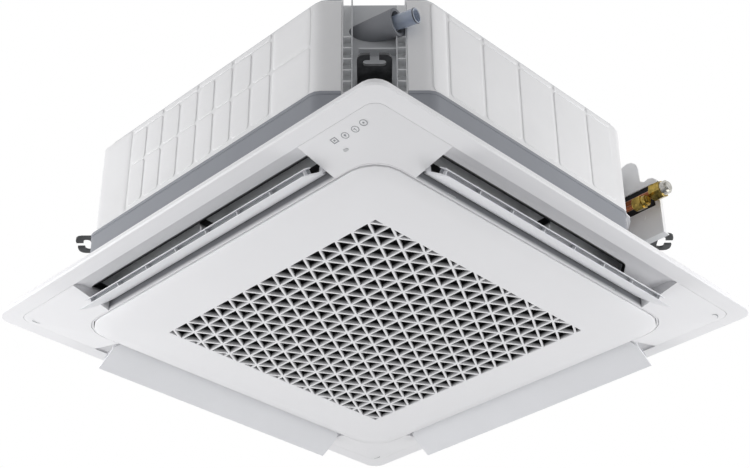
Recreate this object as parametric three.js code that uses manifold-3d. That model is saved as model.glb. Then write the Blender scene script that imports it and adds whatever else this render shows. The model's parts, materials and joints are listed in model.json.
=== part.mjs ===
// Ceiling cassette air conditioner: a square panel with four louvres hangs under a body that holds
// the fan, the coil, the drain pan and the pump. All sizes are in millimetres, +Z is up and the origin
// is the middle of the ceiling plane, so the panel hangs below it and the body stands above it.
import * as THREE from 'three';
import { mergeVertices } from 'three/addons/utils/BufferGeometryUtils.js';
import Module from 'manifold-3d';

const wasm = await Module();
wasm.setup();

// ---------------------------------------------------------------- driving dimensions
const FIT = 0.3; // gap between pieces that touch
const SQRT2 = Math.SQRT2;

// body
const BASE_HALF = 420; // half width of the base band; the body and the panel follow it
const BASE_TOP = 101;
const BASE_WALL = 3;
const CASING_STEP = 10.5; // casing inside the face of the band
const CASING_HALF = BASE_HALF - CASING_STEP;
const CASING_WALL = 3;
const BODY_TOP = 296.3;
const LINER_THICK = 12;
const TOP_FOAM = 22; // insulation over the coil
const TOP_SHEET = 1.4;

// cut corners: reach is the distance from the middle to an outline REACH_INSET inside the band
const REACH_INSET = 12;
const REACH_HALF = BASE_HALF - REACH_INSET;
const DIAGONAL = SQRT2 * BASE_HALF;
const CORNER_REACH = DIAGONAL - 104;
const BACK_CORNER_REACH = DIAGONAL - 111; // the far and the left corner
const PIPE_CORNER_REACH = DIAGONAL - 159;
const BASE_PIPE_CORNER_REACH = DIAGONAL - 176.5;

// panel
const SEAM_HALF = BASE_HALF + 23.5; // line where the rim meets corner covers and outlets
const SEAM_DEPTH = 10.3;
const SEAM_CORNER = 20;
const RIM_WIDTH = 31.5;
const PANEL_HALF = SEAM_HALF + RIM_WIDTH;
const PANEL_CORNER = 26;
const RIM_DEPTH = 6; // height of the rim's outer edge
const PANEL_INNER = BASE_HALF - 55.4; // inside face of the ring wall round the grille
const INNER_DEPTH = 28.6; // how low the ring wall reaches
const INNER_WALL = 1.8;
const SLOT_INNER = PANEL_INNER + INNER_WALL;
const DUCT_TOP = 17.6; // how far the outlet ducts rise into the body
const DUCT_WALL = 6; // duct wall where the body's corner is cut away
const PANEL_SKIN = 1.2; // closes the outlets where no body stands above them
const TRAY_DEPTH = 0.5; // the body stands in a shallow tray in the panel's back
const TRAY_MARGIN = 5;
const COVER_THICK = 2.4;

// outlets and louvres
const LIP_RUN = 49.5; // from the seam to the duct's outer wall
const LIP_THROAT = SEAM_HALF - LIP_RUN;
const SLOT_HALF = PANEL_INNER - 83.1;
const LOUVRE_GAP = 4;
const LOUVRE_HALF = SLOT_HALF - LOUVRE_GAP;
const LOUVRE_TAPER = 15.5; // the inner edge is shorter than the outer one
const HINGE_OUT = LIP_THROAT - 6; // louvre hinge, measured outwards from the middle of the panel
const HINGE_Z = -18;
const LOUVRE_TILT = 34.9; // outer edge down, as photographed (degrees)
const LOUVRE_INNER = 19.5; // chord on the inner side of the hinge
const LOUVRE_OUTER = 54;
const LOUVRE_DROP = 7.4; // hinge axis above the blade's lower face
const LOUVRE_THICK = 1.8;
const VANE_FROM = 22; // narrow upper vane
const VANE_TO = 36;
const VANE_RISE = 4.6;
const VANE_THICK = 1.4;
const RIB_COUNT = 8;
const PIN_RADIUS = 2;

// grille
const GRILLE_GAP = 1.6;
const GRILLE_HALF = PANEL_INNER - GRILLE_GAP;
const GRILLE_CORNER = 51;
const GRILLE_EDGE_Z = -31;
const GRILLE_FACE_Z = -40;
const GRILLE_RIM_TOP = -18;
const GRILLE_WALL = 3;
const LATTICE_ROWS = 16;
const LATTICE_PITCH = 37.1; // side of one triangle between bar centres
const LATTICE_BAR = 3.6;
const LATTICE_DEPTH = 11;
const GRILLE_HINGE_X = -GRILLE_HALF + 6;
const GRILLE_HINGE_Z = GRILLE_EDGE_Z + 1.6; // low enough for the grille's corners to swing clear
const GRILLE_ARM_HALF = 1.6;
const GRILLE_FITTING_Y = 200; // hinges and catches, either side of the middle

// near corner, where the drain comes out
const RECESS_HALF = 51;
const RECESS_DEPTH = 18;
const RECESS_BACK = CORNER_REACH - RECESS_DEPTH;
const RECESS_FLOOR = 30;

// hanger brackets
const HANGER_Z = 141;
const HANGER_SHEET = 4;
const HANGER_LUG = 22; // how far the root flange hangs below the bracket
const HANGER_ARM = 50;
const HANGER_REACH = CORNER_REACH + HANGER_ARM;
const HANGER_HALF = 27;
const HANGER_BOLT_REACH = HANGER_REACH - 20;

// inside
const REST = 0.4; // gap under a piece that lies on its seat
const PAN_BOTTOM = DUCT_TOP + REST;
const PAN_TOP = 58;
const PAN_HALF = BASE_HALF - BASE_WALL - REST;
const TROUGH_FLOOR = 34;
const COIL_HALF = BASE_HALF - 102;
const COIL_DEPTH = 38;
const COIL_CORNER = 110;
const COIL_BOTTOM = TROUGH_FLOOR + REST;
const COIL_TOP = BODY_TOP - TOP_FOAM - FIT;
const COIL_END = COIL_HALF - 128; // both ends of the coil stop short of the pipe corner
const TROUGH_MARGIN = 10;
const ORIFICE_RADIUS = 166;
const ORIFICE_MOUTH = ORIFICE_RADIUS + 39;
const ORIFICE_PLATE = 3;
const ORIFICE_PLATE_Z = PAN_BOTTOM - REST - ORIFICE_PLATE;
const MOTOR_RADIUS = 78;
const MOTOR_HEIGHT = 82;
const MOTOR_BOTTOM = COIL_TOP - MOTOR_HEIGHT;
const SHAFT_RADIUS = 6;
const FAN_RADIUS = 230;
const FAN_EYE = ORIFICE_RADIUS + 5;
const FAN_BOTTOM = 94;
const FAN_BLADES = 7;
const HUB_DOME = MOTOR_RADIUS + 40;
const FAN_BOSS_LOW = MOTOR_BOTTOM - 26;
const BACK_LOW = MOTOR_BOTTOM + 34;
const ORIFICE_TOP = FAN_BOTTOM - 4;

// piping, placed from the middle of its cut corner
const PIPE_CORNER = PIPE_CORNER_REACH / SQRT2;
const GAS_RADIUS = 7.9;
const LIQUID_RADIUS = 4.8;
const GAS_Y = PIPE_CORNER - 35.6;
const GAS_Z = 176;
const GAS_END = PIPE_CORNER + 119.4;
const LIQUID_Y = PIPE_CORNER - 57.6;
const LIQUID_Z = 152;
const LIQUID_END = PIPE_CORNER + 94.4;
const PIPE_COVER_Y = PIPE_CORNER - 17.6;
const PIPE_COVER_X = PIPE_CORNER + 117.4;

// drain
const DRAIN_RADIUS = 12.5;
const DRAIN_WALL = 2.4;
const SLEEVE_RADIUS = 23.5; // the foam sleeve widens from its root to its mouth
const SLEEVE_ROOT_RADIUS = 16.5;
const SLEEVE_WALL = 5;
const DRAIN_HEIGHT = BODY_TOP - 55.3;

// ---------------------------------------------------------------- materials
const finish = (color, roughness, metalness = 0) => (
  new THREE.MeshStandardMaterial({ color, roughness, metalness })
);
const WHITE_PLASTIC = () => finish(0xf1f1f2, 0.42);
const BLADE_PLASTIC = () => finish(0xe6e7e9, 0.4);
const FOAM_WHITE = () => finish(0xf3f4f5, 0.85);
const BASE_GREY = () => finish(0x8d9096, 0.6);
const GREY_PLASTIC = () => finish(0xb9bcc0, 0.5);
const BLACK_STEEL = () => finish(0x2c2d2f, 0.45, 0.6);
const BLACK_FOAM = () => finish(0x1b1b1c, 0.9);
const GREY_FOAM = () => finish(0x5a5b5e, 0.9);
const ZINC_STEEL = () => finish(0xb6babd, 0.35, 0.9);
const COIL_ALUMINIUM = () => finish(0xc3c7c9, 0.4, 0.9);
const COPPER = () => finish(0xb87449, 0.3, 1);
const BRASS = () => finish(0xb08d3f, 0.3, 1);
const SILVER_CAP = () => finish(0xc9c9c7, 0.3, 0.9);
const HOSE_CLEAR = () => finish(0xa9b2c2, 0.2);
const BOARD_GREEN = () => finish(0x2f5d3c, 0.6);

// ---------------------------------------------------------------- solids
const group = new THREE.Group();

function toSolid(geometry) {
  const bare = geometry.index ? geometry.clone() : geometry;
  bare.deleteAttribute('normal');
  bare.deleteAttribute('uv');
  const merged = mergeVertices(bare, 1e-4);
  return new wasm.Manifold(new wasm.Mesh({
    numProp: 3,
    vertProperties: new Float32Array(merged.attributes.position.array),
    triVerts: new Uint32Array(merged.index.array),
  }));
}

function toGeometry(solid) {
  const mesh = solid.getMesh();
  const geometry = new THREE.BufferGeometry();
  geometry.setAttribute('position', new THREE.BufferAttribute(mesh.vertProperties, 3));
  geometry.setIndex(new THREE.BufferAttribute(mesh.triVerts, 1));
  geometry.computeVertexNormals();
  return geometry;
}

const join = (first, ...rest) => rest.reduce((sum, part) => sum.add(part), first);
const cut = (first, ...rest) => rest.reduce((left, part) => left.subtract(part), first);

function place(name, solid, material) {
  const mesh = new THREE.Mesh(toGeometry(solid), material());
  mesh.name = name;
  group.add(mesh);
}

function move(geometry, x, y, z) {
  return geometry.translate(x, y, z);
}

// a box from its lowest to its highest corner
function block(x0, x1, y0, y1, z0, z1) {
  const box = new THREE.BoxGeometry(x1 - x0, y1 - y0, z1 - z0);
  return toSolid(move(box, (x0 + x1) / 2, (y0 + y1) / 2, (z0 + z1) / 2));
}

// a plan outline raised from z0 to z1
function prism(points, z0, z1, holes = []) {
  const shape = new THREE.Shape(points.map(([x, y]) => new THREE.Vector2(x, y)));
  holes.forEach((hole) => {
    shape.holes.push(new THREE.Path(hole.map(([x, y]) => new THREE.Vector2(x, y))));
  });
  const geometry = new THREE.ExtrudeGeometry(shape, { depth: z1 - z0, bevelEnabled: false });
  return toSolid(move(geometry, 0, 0, z0));
}

// a section drawn as [outwards, z], run along X; outwards is -Y, towards the near-left side
function bar(section, x0, x1) {
  const shape = new THREE.Shape(section.map(([out, z]) => new THREE.Vector2(out, z)));
  const geometry = new THREE.ExtrudeGeometry(shape, { depth: x1 - x0, bevelEnabled: false });
  geometry.rotateX(Math.PI / 2);
  geometry.rotateZ(-Math.PI / 2);
  return toSolid(move(geometry, x1, 0, 0));
}

// a round bar along Z
function rod(radius, z0, z1, x = 0, y = 0, sides = 16) {
  const geometry = new THREE.CylinderGeometry(radius, radius, z1 - z0, sides);
  geometry.rotateX(Math.PI / 2);
  return toSolid(move(geometry, x, y, (z0 + z1) / 2));
}

// a round bar along X
function rodX(radius, x0, x1, y, z, sides = 16) {
  const geometry = new THREE.CylinderGeometry(radius, radius, x1 - x0, sides);
  geometry.rotateZ(Math.PI / 2);
  return toSolid(move(geometry, (x0 + x1) / 2, y, z));
}

// a round bar along Y
function rodY(radius, y0, y1, x, z, sides = 12) {
  const geometry = new THREE.CylinderGeometry(radius, radius, y1 - y0, sides);
  return toSolid(move(geometry, x, (y0 + y1) / 2, z));
}

// a turned solid about Z from a closed profile of [radius, z]
function turned(profile, sides = 28) {
  const loop = [...profile, profile[0]].map(([radius, z]) => new THREE.Vector2(radius, z));
  const geometry = new THREE.LatheGeometry(loop, sides);
  geometry.rotateX(Math.PI / 2);
  return outward(geometry);
}

// a turned solid about Z whose profile starts and ends on the axis
function turnedSolid(profile, sides = 24) {
  const points = profile.map(([radius, z]) => new THREE.Vector2(radius, z));
  const geometry = new THREE.LatheGeometry(points, sides);
  geometry.rotateX(Math.PI / 2);
  return outward(geometry);
}

// turns a closed mesh right side out
function outward(geometry) {
  geometry.deleteAttribute('normal');
  geometry.deleteAttribute('uv');
  const merged = mergeVertices(geometry, 1e-4);
  const at = merged.attributes.position;
  const index = Array.from(merged.index.array);
  const kept = [];
  let volume = 0;
  for (let i = 0; i < index.length; i += 3) {
    const [a, b, c] = [index[i], index[i + 1], index[i + 2]];
    if (a !== b && b !== c && c !== a) {
      const [p, q, r] = [a, b, c].map((k) => new THREE.Vector3().fromBufferAttribute(at, k));
      volume += p.dot(q.cross(r));
      kept.push([a, b, c]);
    }
  }
  const faces = volume < 0 ? kept.map(([a, b, c]) => [a, c, b]) : kept;
  const result = new THREE.BufferGeometry();
  result.setAttribute('position', at);
  result.setIndex(faces.flat());
  return toSolid(result);
}

// a tube along a smooth curve
function pipe(points, radius, steps, sides = 12) {
  const circle = new THREE.Shape();
  circle.absarc(0, 0, radius, 0, 2 * Math.PI);
  const curve = new THREE.CatmullRomCurve3(points.map((p) => new THREE.Vector3(...p)), false, 'centripetal');
  const settings = { steps, curveSegments: sides / 2, extrudePath: curve, bevelEnabled: false };
  return toSolid(new THREE.ExtrudeGeometry(circle, settings));
}

// ---------------------------------------------------------------- outlines
// rounds each corner of a counter-clockwise outline; corners are [x, y, radius]
function rounded(corners, steps) {
  const count = corners.length;
  return corners.flatMap(([x, y, radius], i) => {
    const [px, py] = corners[(i + count - 1) % count];
    const [nx, ny] = corners[(i + 1) % count];
    const before = new THREE.Vector2(px - x, py - y).normalize();
    const after = new THREE.Vector2(nx - x, ny - y).normalize();
    const half = Math.acos(before.dot(after)) / 2;
    const reach = radius / Math.tan(half);
    const centre = before.clone().add(after).normalize().multiplyScalar(radius / Math.sin(half));
    const start = before.multiplyScalar(reach).sub(centre);
    const turn = Math.PI - 2 * half;
    return Array.from({ length: steps + 1 }, (_, k) => {
      const spoke = start.clone().rotateAround(new THREE.Vector2(), (turn * k) / steps);
      return [x + centre.x + spoke.x, y + centre.y + spoke.y];
    });
  });
}

function circle(radius, sides) {
  return Array.from({ length: sides }, (_, i) => {
    const angle = (2 * Math.PI * i) / sides;
    return [radius * Math.cos(angle), radius * Math.sin(angle)];
  });
}

function squareOutline(half, radius, steps = 4) {
  return rounded([
    [half, -half, radius],
    [half, half, radius],
    [-half, half, radius],
    [-half, -half, radius],
  ], steps);
}

// the body's plan: a square with four cut corners, each at its own reach from the middle
function bodyOutline(reaches, radius, steps = 2) {
  return (half) => {
    const [near, right, far, left] = reaches.map((reach) => SQRT2 * (reach + half - REACH_HALF) - half);
    return rounded([
      [near, -half, radius],
      [half, -near, radius],
      [half, right, radius],
      [right, half, radius],
      [-far, half, radius],
      [-half, far, radius],
      [-half, -left, radius],
      [-left, -half, radius],
    ], steps);
  };
}

const CASING_REACHES = [CORNER_REACH, PIPE_CORNER_REACH, BACK_CORNER_REACH, BACK_CORNER_REACH];
const BASE_REACHES = [CORNER_REACH, BASE_PIPE_CORNER_REACH, BACK_CORNER_REACH, BACK_CORNER_REACH];
const casingOutline = bodyOutline(CASING_REACHES, 30);
const baseOutline = bodyOutline(BASE_REACHES, 24);
const panOutline = bodyOutline(BASE_REACHES, 12, 1);

// a ring whose section is a closed list of [half width, z], carried round a plan outline
function ring(section, outlineAt) {
  const loops = section.map(([half, z]) => outlineAt(half).map(([x, y]) => [x, y, z]));
  const count = loops[0].length;
  const faces = [];
  loops.forEach((loop, i) => {
    const next = (i + 1) % loops.length;
    loop.forEach((_, j) => {
      const k = (j + 1) % count;
      faces.push(i * count + j, i * count + k, next * count + k);
      faces.push(i * count + j, next * count + k, next * count + j);
    });
  });
  const geometry = new THREE.BufferGeometry();
  geometry.setAttribute('position', new THREE.Float32BufferAttribute(loops.flat(2), 3));
  geometry.setIndex(faces);
  return outward(geometry);
}

// ---------------------------------------------------------------- places
const SIDES = ['near_left', 'near_right', 'far_right', 'far_left'];
const CORNERS = ['near', 'right', 'far', 'left'];
const quarterTurn = (solid, turns) => solid.rotate([0, 0, 90 * turns]);

// a point at the near corner from its reach and its distance along the cut corner
const atNear = (reach, along, z) => [(reach + along) / SQRT2, (along - reach) / SQRT2, z];

// turns a piece drawn with X outwards and Y along the cut corner to the near corner
const toNear = (solid) => solid.rotate([0, 0, -45]);

// height of the panel's sloping face at a given distance from the middle
function faceZ(out) {
  const slope = (INNER_DEPTH + 0.8 - SEAM_DEPTH) / (SEAM_HALF - PANEL_INNER);
  return -SEAM_DEPTH - slope * (SEAM_HALF - out);
}

// corner rounding of the panel's rings, smallest at the seam
function faceCorner(half) {
  if (half > SEAM_HALF) {
    const share = (half - SEAM_HALF) / (PANEL_HALF - SEAM_HALF);
    return SEAM_CORNER + share * (PANEL_CORNER - SEAM_CORNER);
  }
  const share = (SEAM_HALF - half) / (SEAM_HALF - PANEL_INNER);
  return SEAM_CORNER + share * (GRILLE_CORNER + GRILLE_GAP - SEAM_CORNER);
}
const faceOutline = (half) => squareOutline(half, faceCorner(half));

// a louvre point from its chord distance and its height over the hinge axis
function louvrePoint(chord, rise) {
  const tilt = THREE.MathUtils.degToRad(LOUVRE_TILT);
  const out = HINGE_OUT + chord * Math.cos(tilt) + rise * Math.sin(tilt);
  return [out, HINGE_Z - chord * Math.sin(tilt) + rise * Math.cos(tilt)];
}

// ---------------------------------------------------------------- panel
const LIP = [
  [SEAM_HALF, -SEAM_DEPTH - 20],
  [SEAM_HALF, -SEAM_DEPTH],
  [SEAM_HALF - 1.5, -SEAM_DEPTH + 3.5],
  [SEAM_HALF - 9.5, -SEAM_DEPTH + 6.3],
  [SEAM_HALF - 19.5, -SEAM_DEPTH + 8.3],
  [SEAM_HALF - 31.5, -SEAM_DEPTH + 11.3],
  [LIP_THROAT + 9, -SEAM_DEPTH + 14.7],
  [LIP_THROAT + 2, -SEAM_DEPTH + 19.3],
  [LIP_THROAT, DUCT_TOP],
  [LIP_THROAT, DUCT_TOP + 5],
];
const MOTOR_FACE = SLOT_HALF + 6.5;
const LOUVRE_MOTOR_RADIUS = 9.5;
const LOUVRE_MOTOR_LENGTH = 15;
const LOUVRE_MOTOR_OFFSET = 6.9; // shaft off the middle of the motor's body
const WEB_HALF = 1.5;

function slotCut() {
  const inner = [[SLOT_INNER, DUCT_TOP + 5], [SLOT_INNER, -SEAM_DEPTH - 40], [SEAM_HALF, -SEAM_DEPTH - 40]];
  const slot = bar([...LIP, ...inner], -SLOT_HALF, SLOT_HALF);
  const bores = rodX(PIN_RADIUS + FIT, -SLOT_HALF - 6, MOTOR_FACE + 1, -HINGE_OUT, HINGE_Z, 8);
  const motorRoom = LOUVRE_MOTOR_RADIUS + FIT;
  const pocket = block(
    MOTOR_FACE,
    MOTOR_FACE + LOUVRE_MOTOR_LENGTH + 1.2,
    -HINGE_OUT - motorRoom,
    -HINGE_OUT + motorRoom,
    -40,
    HINGE_Z + LOUVRE_MOTOR_OFFSET + motorRoom,
  );
  return join(slot, bores, pocket);
}

// all four outlets with their hinge bores; above the ceiling plane they stay inside the body
function outletCuts() {
  const slots = join(...SIDES.map((_, turns) => quarterTurn(slotCut(), turns)));
  const below = block(-PANEL_HALF, PANEL_HALF, -PANEL_HALF, PANEL_HALF, -80, -PANEL_SKIN);
  const inside = prism(baseOutline(BASE_HALF - BASE_WALL - DUCT_WALL), -PANEL_SKIN - 1, DUCT_TOP + 10);
  return slots.intersect(below.add(inside));
}

function middleWeb() {
  const section = [
    [SLOT_INNER - 1, DUCT_TOP],
    [SLOT_INNER - 1, 0],
    [HINGE_OUT - 5.5, HINGE_Z + 6],
    [HINGE_OUT - 4.2, HINGE_Z - 1.5],
    [HINGE_OUT - 2, HINGE_Z - 4],
    [HINGE_OUT + 2, HINGE_Z - 4],
    [HINGE_OUT + 4.2, HINGE_Z - 1.5],
    [HINGE_OUT + 6.5, HINGE_Z + 6],
    [LIP_THROAT + 3, 5],
    [LIP_THROAT + 3, DUCT_TOP],
  ];
  const web = bar([...section].reverse(), -WEB_HALF, WEB_HALF);
  return cut(web, rodX(PIN_RADIUS + FIT, -WEB_HALF - 1, WEB_HALF + 1, -HINGE_OUT, HINGE_Z, 8));
}

function panelFrame() {
  const seat = COVER_THICK + FIT;
  const section = [
    [PANEL_HALF, 0],
    [PANEL_HALF, -RIM_DEPTH],
    [PANEL_HALF - 2.5, -RIM_DEPTH - 2.3],
    [SEAM_HALF, -SEAM_DEPTH],
    [SEAM_HALF, -SEAM_DEPTH + seat],
    [SLOT_INNER + 0.6, faceZ(SLOT_INNER + 0.6) + seat],
    [SLOT_INNER, -INNER_DEPTH],
    [PANEL_INNER, -INNER_DEPTH],
    [PANEL_INNER, 0],
  ];
  const opening = prism(faceOutline(PANEL_INNER), -2, DUCT_TOP + 1);
  const duct = prism(baseOutline(BASE_HALF - BASE_WALL - FIT), -1, DUCT_TOP).subtract(opening);
  const tray = prism(squareOutline(BASE_HALF + TRAY_MARGIN, SEAM_CORNER), -TRAY_DEPTH, 1);
  const solid = ring(section, faceOutline).subtract(tray).add(duct).subtract(outletCuts());
  const frame = join(solid, ...SIDES.map((_, turns) => quarterTurn(middleWeb(), turns)));
  const catches = [-1, 1].map((side) => block(
    PANEL_INNER - 1,
    SLOT_INNER + 1,
    side * GRILLE_FITTING_Y - CATCH_HALF - 1,
    side * GRILLE_FITTING_Y + CATCH_HALF + 1,
    CATCH_Z - CATCH_TONGUE - 0.6,
    CATCH_Z + CATCH_TONGUE + 0.6,
  ));
  const pocket = prism(buttonOutline(BUTTON_FLANGE + FIT), -60, BUTTON_SEAT + 1.2 + BUTTON_TRAVEL + FIT);
  place('panel_frame', cut(frame, pocket, ...catches), WHITE_PLASTIC);
}

const BUTTON_AT = [SEAM_HALF - 105.5, -SEAM_HALF + 45.5];
const BUTTON_HALF = [4.6, 2.4];
const BUTTON_PROUD = 0.6;
const BUTTON_TRAVEL = 1;
const BUTTON_FLANGE = 1.2;

function buttonOutline(extra) {
  const [x, y] = BUTTON_AT;
  const [long, short] = BUTTON_HALF.map((size) => size + extra);
  const ends = short * 0.96;
  return rounded([
    [x - long, y - short, ends],
    [x + long, y - short, ends],
    [x + long, y + short, ends],
    [x - long, y + short, ends],
  ], 3);
}

// lowest level at which the button's flange clears the back of its cover
const BUTTON_SEAT = faceZ(-BUTTON_AT[1] + BUTTON_HALF[1] + BUTTON_FLANGE) + COVER_THICK + FIT;

function cornerCovers() {
  const inner = SLOT_INNER + 0.9;
  const outer = SEAM_HALF - 0.5;
  const section = [
    [outer, faceZ(outer)],
    [inner, faceZ(inner)],
    [inner, faceZ(inner) + COVER_THICK],
    [outer, faceZ(outer) + COVER_THICK],
  ];
  const plate = ring(section, faceOutline);
  const from = SLOT_HALF - 0.1;
  CORNERS.forEach((corner, turns) => {
    const keep = quarterTurn(block(from, PANEL_HALF, -PANEL_HALF, -from, -60, 20), turns);
    const shield = plate.intersect(keep);
    if (corner === 'near') {
      const hole = prism(buttonOutline(FIT), -60, 20);
      place('display_corner_cover', shield.subtract(hole), WHITE_PLASTIC);
    } else {
      place(`${corner}_corner_cover`, shield, WHITE_PLASTIC);
    }
  });
}

function displayButton() {
  const front = faceZ(-BUTTON_AT[1]) - BUTTON_PROUD;
  const button = join(
    prism(buttonOutline(0), front, BUTTON_SEAT + 1),
    prism(buttonOutline(BUTTON_FLANGE), BUTTON_SEAT, BUTTON_SEAT + 1.2),
  );
  place('display_button', button, GREY_PLASTIC);
}

function louvre(side, turns) {
  const lower = LOUVRE_DROP;
  const upper = LOUVRE_DROP - LOUVRE_THICK;
  const section = [
    [-LOUVRE_INNER, -lower + 0.4],
    [-LOUVRE_INNER + 12, -lower - 0.5],
    [12, -lower - 1],
    [36, -lower - 0.5],
    [LOUVRE_OUTER, -lower + 0.6],
    [LOUVRE_OUTER, -upper - 0.3],
    [36, -upper + 0.7],
    [12, -upper + 0.4],
    [-LOUVRE_INNER + 12, -upper + 0.4],
    [-LOUVRE_INNER, -upper],
  ];
  const toSection = (points) => points.map(([chord, rise]) => louvrePoint(chord, rise));
  const taper = [-1, 1].map((end) => prism([
    [end * (LOUVRE_HALF - LOUVRE_TAPER), -HINGE_OUT + 22],
    [end * (LOUVRE_HALF + 1), -HINGE_OUT + 22],
    [end * (LOUVRE_HALF + 1), -HINGE_OUT - 2],
    [end * LOUVRE_HALF, -HINGE_OUT - 2],
  ], -60, 0));
  const blade = cut(bar(toSection(section), -LOUVRE_HALF, LOUVRE_HALF), ...taper);
  const vane = bar(toSection([
    [VANE_FROM, VANE_RISE],
    [VANE_TO, VANE_RISE],
    [VANE_TO, VANE_RISE + VANE_THICK],
    [VANE_FROM, VANE_RISE + VANE_THICK],
  ]), -LOUVRE_HALF + 4, LOUVRE_HALF - 4);
  const arm = toSection([
    [-9, -upper - 0.5],
    [10, -upper - 0.5],
    [3.6, 2],
    [1.5, 3.8],
    [-1.5, 3.8],
    [-3.6, 2],
  ]);
  const rib = toSection([
    [VANE_FROM + 3, -upper - 0.4],
    [VANE_TO - 3, -upper - 0.4],
    [VANE_TO - 4, VANE_RISE + 0.4],
    [VANE_FROM + 4, VANE_RISE + 0.4],
  ]);
  const pieces = [vane];
  for (let i = 0; i < RIB_COUNT; i += 1) {
    const x = -LOUVRE_HALF + 12 + (i * (2 * LOUVRE_HALF - 24)) / (RIB_COUNT - 1);
    pieces.push(bar(rib, x - 0.9, x + 0.9));
  }
  [-1, 1].forEach((end) => {
    const outer = end * LOUVRE_HALF;
    pieces.push(bar(arm, Math.min(outer, outer - end * 3), Math.max(outer, outer - end * 3)));
    const lug = end * (WEB_HALF + 1);
    pieces.push(bar(arm, Math.min(lug, lug + end * 2), Math.max(lug, lug + end * 2)));
  });
  pieces.push(rodX(PIN_RADIUS, -WEB_HALF - 2, WEB_HALF + 2, -HINGE_OUT, HINGE_Z, 8));
  pieces.push(rodX(PIN_RADIUS, -SLOT_HALF - 5, -LOUVRE_HALF + 1, -HINGE_OUT, HINGE_Z, 8));
  pieces.push(rodX(PIN_RADIUS, LOUVRE_HALF - 1, MOTOR_FACE - 0.4, -HINGE_OUT, HINGE_Z, 8));
  place(`${side}_louvre`, quarterTurn(join(blade, ...pieces), turns), BLADE_PLASTIC);
}

function louvreMotor(side, turns) {
  const start = MOTOR_FACE + 0.9;
  const bodyZ = HINGE_Z + LOUVRE_MOTOR_OFFSET;
  const body = rodX(LOUVRE_MOTOR_RADIUS, start, start + LOUVRE_MOTOR_LENGTH, -HINGE_OUT, bodyZ, 20);
  const boss = rodX(PIN_RADIUS, MOTOR_FACE - 0.1, start + 1, -HINGE_OUT, HINGE_Z, 8);
  place(`${side}_louvre_motor`, quarterTurn(body.add(boss), turns), GREY_PLASTIC);
}

// ---------------------------------------------------------------- grille
const LATTICE_HALF = (LATTICE_ROWS * LATTICE_PITCH * Math.sqrt(3)) / 4;
const CATCH_Z = -22.5;
const CATCH_TONGUE = 1.6; // half height of the catch's nose
const CATCH_HALF = 9;

// cuts a triangle at x = -limit and x = limit
function clipped(points, limit) {
  return [-1, 1].reduce((outline, side) => outline.flatMap(([x, y], i) => {
    const [nx, ny] = outline[(i + 1) % outline.length];
    const inside = side * x <= limit;
    const nextInside = side * nx <= limit;
    const kept = inside ? [[x, y]] : [];
    if (inside !== nextInside) {
      const share = (side * limit - x) / (nx - x);
      kept.push([side * limit, y + share * (ny - y)]);
    }
    return kept;
  }), points);
}

function area(points) {
  return points.reduce((sum, [x, y], i) => {
    const [nx, ny] = points[(i + 1) % points.length];
    return sum + (x * ny - nx * y) / 2;
  }, 0);
}

function latticeHoles() {
  const rowHeight = (LATTICE_PITCH * Math.sqrt(3)) / 2;
  const inset = LATTICE_BAR / 2;
  const side = LATTICE_PITCH - inset * 2 * Math.sqrt(3);
  const columns = Math.ceil(LATTICE_HALF / (LATTICE_PITCH / 2)) + 1;
  const holes = [];
  for (let row = 0; row < LATTICE_ROWS; row += 1) {
    const y0 = -LATTICE_HALF + row * rowHeight;
    for (let column = -columns; column <= columns; column += 1) {
      const up = (row + column) % 2 === 0;
      const base = up ? y0 + inset : y0 + rowHeight - inset;
      const tip = up ? base + (side * Math.sqrt(3)) / 2 : base - (side * Math.sqrt(3)) / 2;
      const x = (column * LATTICE_PITCH) / 2;
      const corners = [[x - side / 2, base], [x + side / 2, base], [x, tip]];
      const hole = clipped(up ? corners : corners.reverse(), LATTICE_HALF - inset);
      if (hole.length > 2 && area(hole) > 40) {
        holes.push(new THREE.Shape(hole.map(([px, py]) => new THREE.Vector2(px, py))));
      }
    }
  }
  const settings = { depth: LATTICE_DEPTH + 2, bevelEnabled: false };
  return toSolid(move(new THREE.ExtrudeGeometry(holes, settings), 0, 0, GRILLE_FACE_Z - 1));
}

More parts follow.
